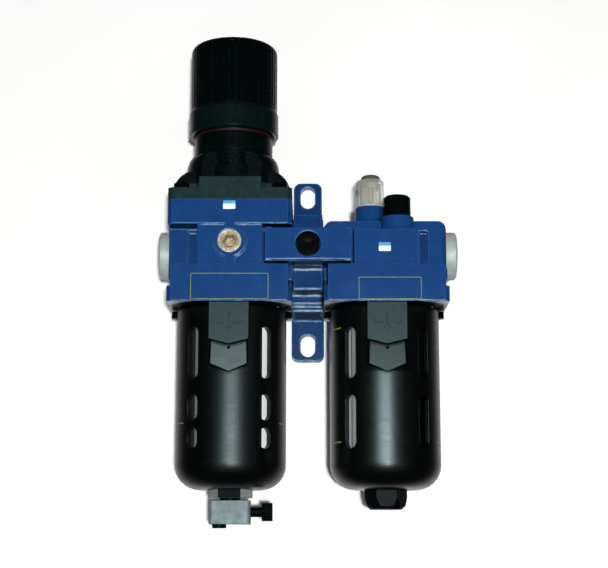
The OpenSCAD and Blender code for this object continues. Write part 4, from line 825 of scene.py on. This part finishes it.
def studio_world(fill, gloss):
    """White for views. Fill light and reflections have a level in front (-Y) and another behind (+Y)."""
    world = bpy.data.worlds.new("studio")
    world.use_nodes = True
    tree = world.node_tree
    path = add(tree, "ShaderNodeLightPath")
    place = add(tree, "ShaderNodeTexCoord")
    split = add(tree, "ShaderNodeSeparateXYZ")
    fill_limits = {"From Min": -0.1, "From Max": 0.7, "To Min": fill[0], "To Max": fill[1]}
    gloss_limits = {"From Min": 0.4, "From Max": 0.95, "To Min": gloss[0], "To Max": gloss[1]}
    fill_level = add(tree, "ShaderNodeMapRange", fill_limits, interpolation_type="SMOOTHSTEP")
    gloss_level = add(tree, "ShaderNodeMapRange", gloss_limits, interpolation_type="SMOOTHSTEP")
    level = add(tree, "ShaderNodeMix", data_type="FLOAT")
    shown = add(tree, "ShaderNodeMath", operation="MAXIMUM")
    tree.links.new(place.outputs["Generated"], split.inputs[0])
    tree.links.new(split.outputs["Y"], fill_level.inputs["Value"])
    tree.links.new(split.outputs["Y"], gloss_level.inputs["Value"])
    tree.links.new(path.outputs["Is Glossy Ray"], level.inputs[0])
    tree.links.new(fill_level.outputs["Result"], level.inputs[2])
    tree.links.new(gloss_level.outputs["Result"], level.inputs[3])
    tree.links.new(level.outputs[0], shown.inputs[0])
    tree.links.new(path.outputs["Is Camera Ray"], shown.inputs[1])
    tree.links.new(shown.outputs[0], tree.nodes["Background"].inputs["Strength"])
    tree.nodes["Background"].inputs["Color"].default_value = (1, 1, 1, 1)
    bpy.context.scene.world = world


flash_place = (0.07, -1.4, -0.24)
flash_size = (0.06, 0.06)
panel_tint = (0.66, 0.97, 1.0)
flash = area_lamp("flash", flash_place, (0, 0, 0), flash_size, 20.5)
flash.visible_glossy = False
glint = area_lamp("glint", flash_place, (0, 0, 0), flash_size, 4)
glint.visible_diffuse = False
panel = area_lamp("panel", (0.0, -0.84, -0.05), (0, -0.05, -0.05), (0.36, 0.16), 2.3, panel_tint)
panel.visible_diffuse = False
back_lamp = area_lamp("back_lamp", (-0.9, 1.5, 0.8), (0, -0.04, 0), (0.6, 0.6), 14)
back_lamp.visible_glossy = False
studio_world((0.14, 0.55), (0.01, 0.9))
print("lamps and world are set")

# %% [markdown]
# The photograph looks slightly up at the front. A long lens at about 0.85 metres keeps the perspective weak,
# and a very small shift puts the middle of the unit where the photograph has it.

# %% Camera
photo_width = 608
focal_px = 1400
axis_px = 308
look_up = 11
camera_place = (0, -841.4 * mm, -171.7 * mm)
camera_data = bpy.data.cameras.new("camera")
camera_data.sensor_width = 36
camera_data.lens = focal_px / photo_width * camera_data.sensor_width
camera_data.shift_x = (photo_width / 2 - axis_px) / photo_width
camera = bpy.data.objects.new("camera", camera_data)
camera.location = camera_place
camera.rotation_euler = (math.radians(90 + look_up), 0, 0)
bpy.context.scene.collection.objects.link(camera)
bpy.context.scene.camera = camera
bpy.context.scene.view_settings.view_transform = "Standard"
print("lens", round(camera_data.lens, 2), "mm")
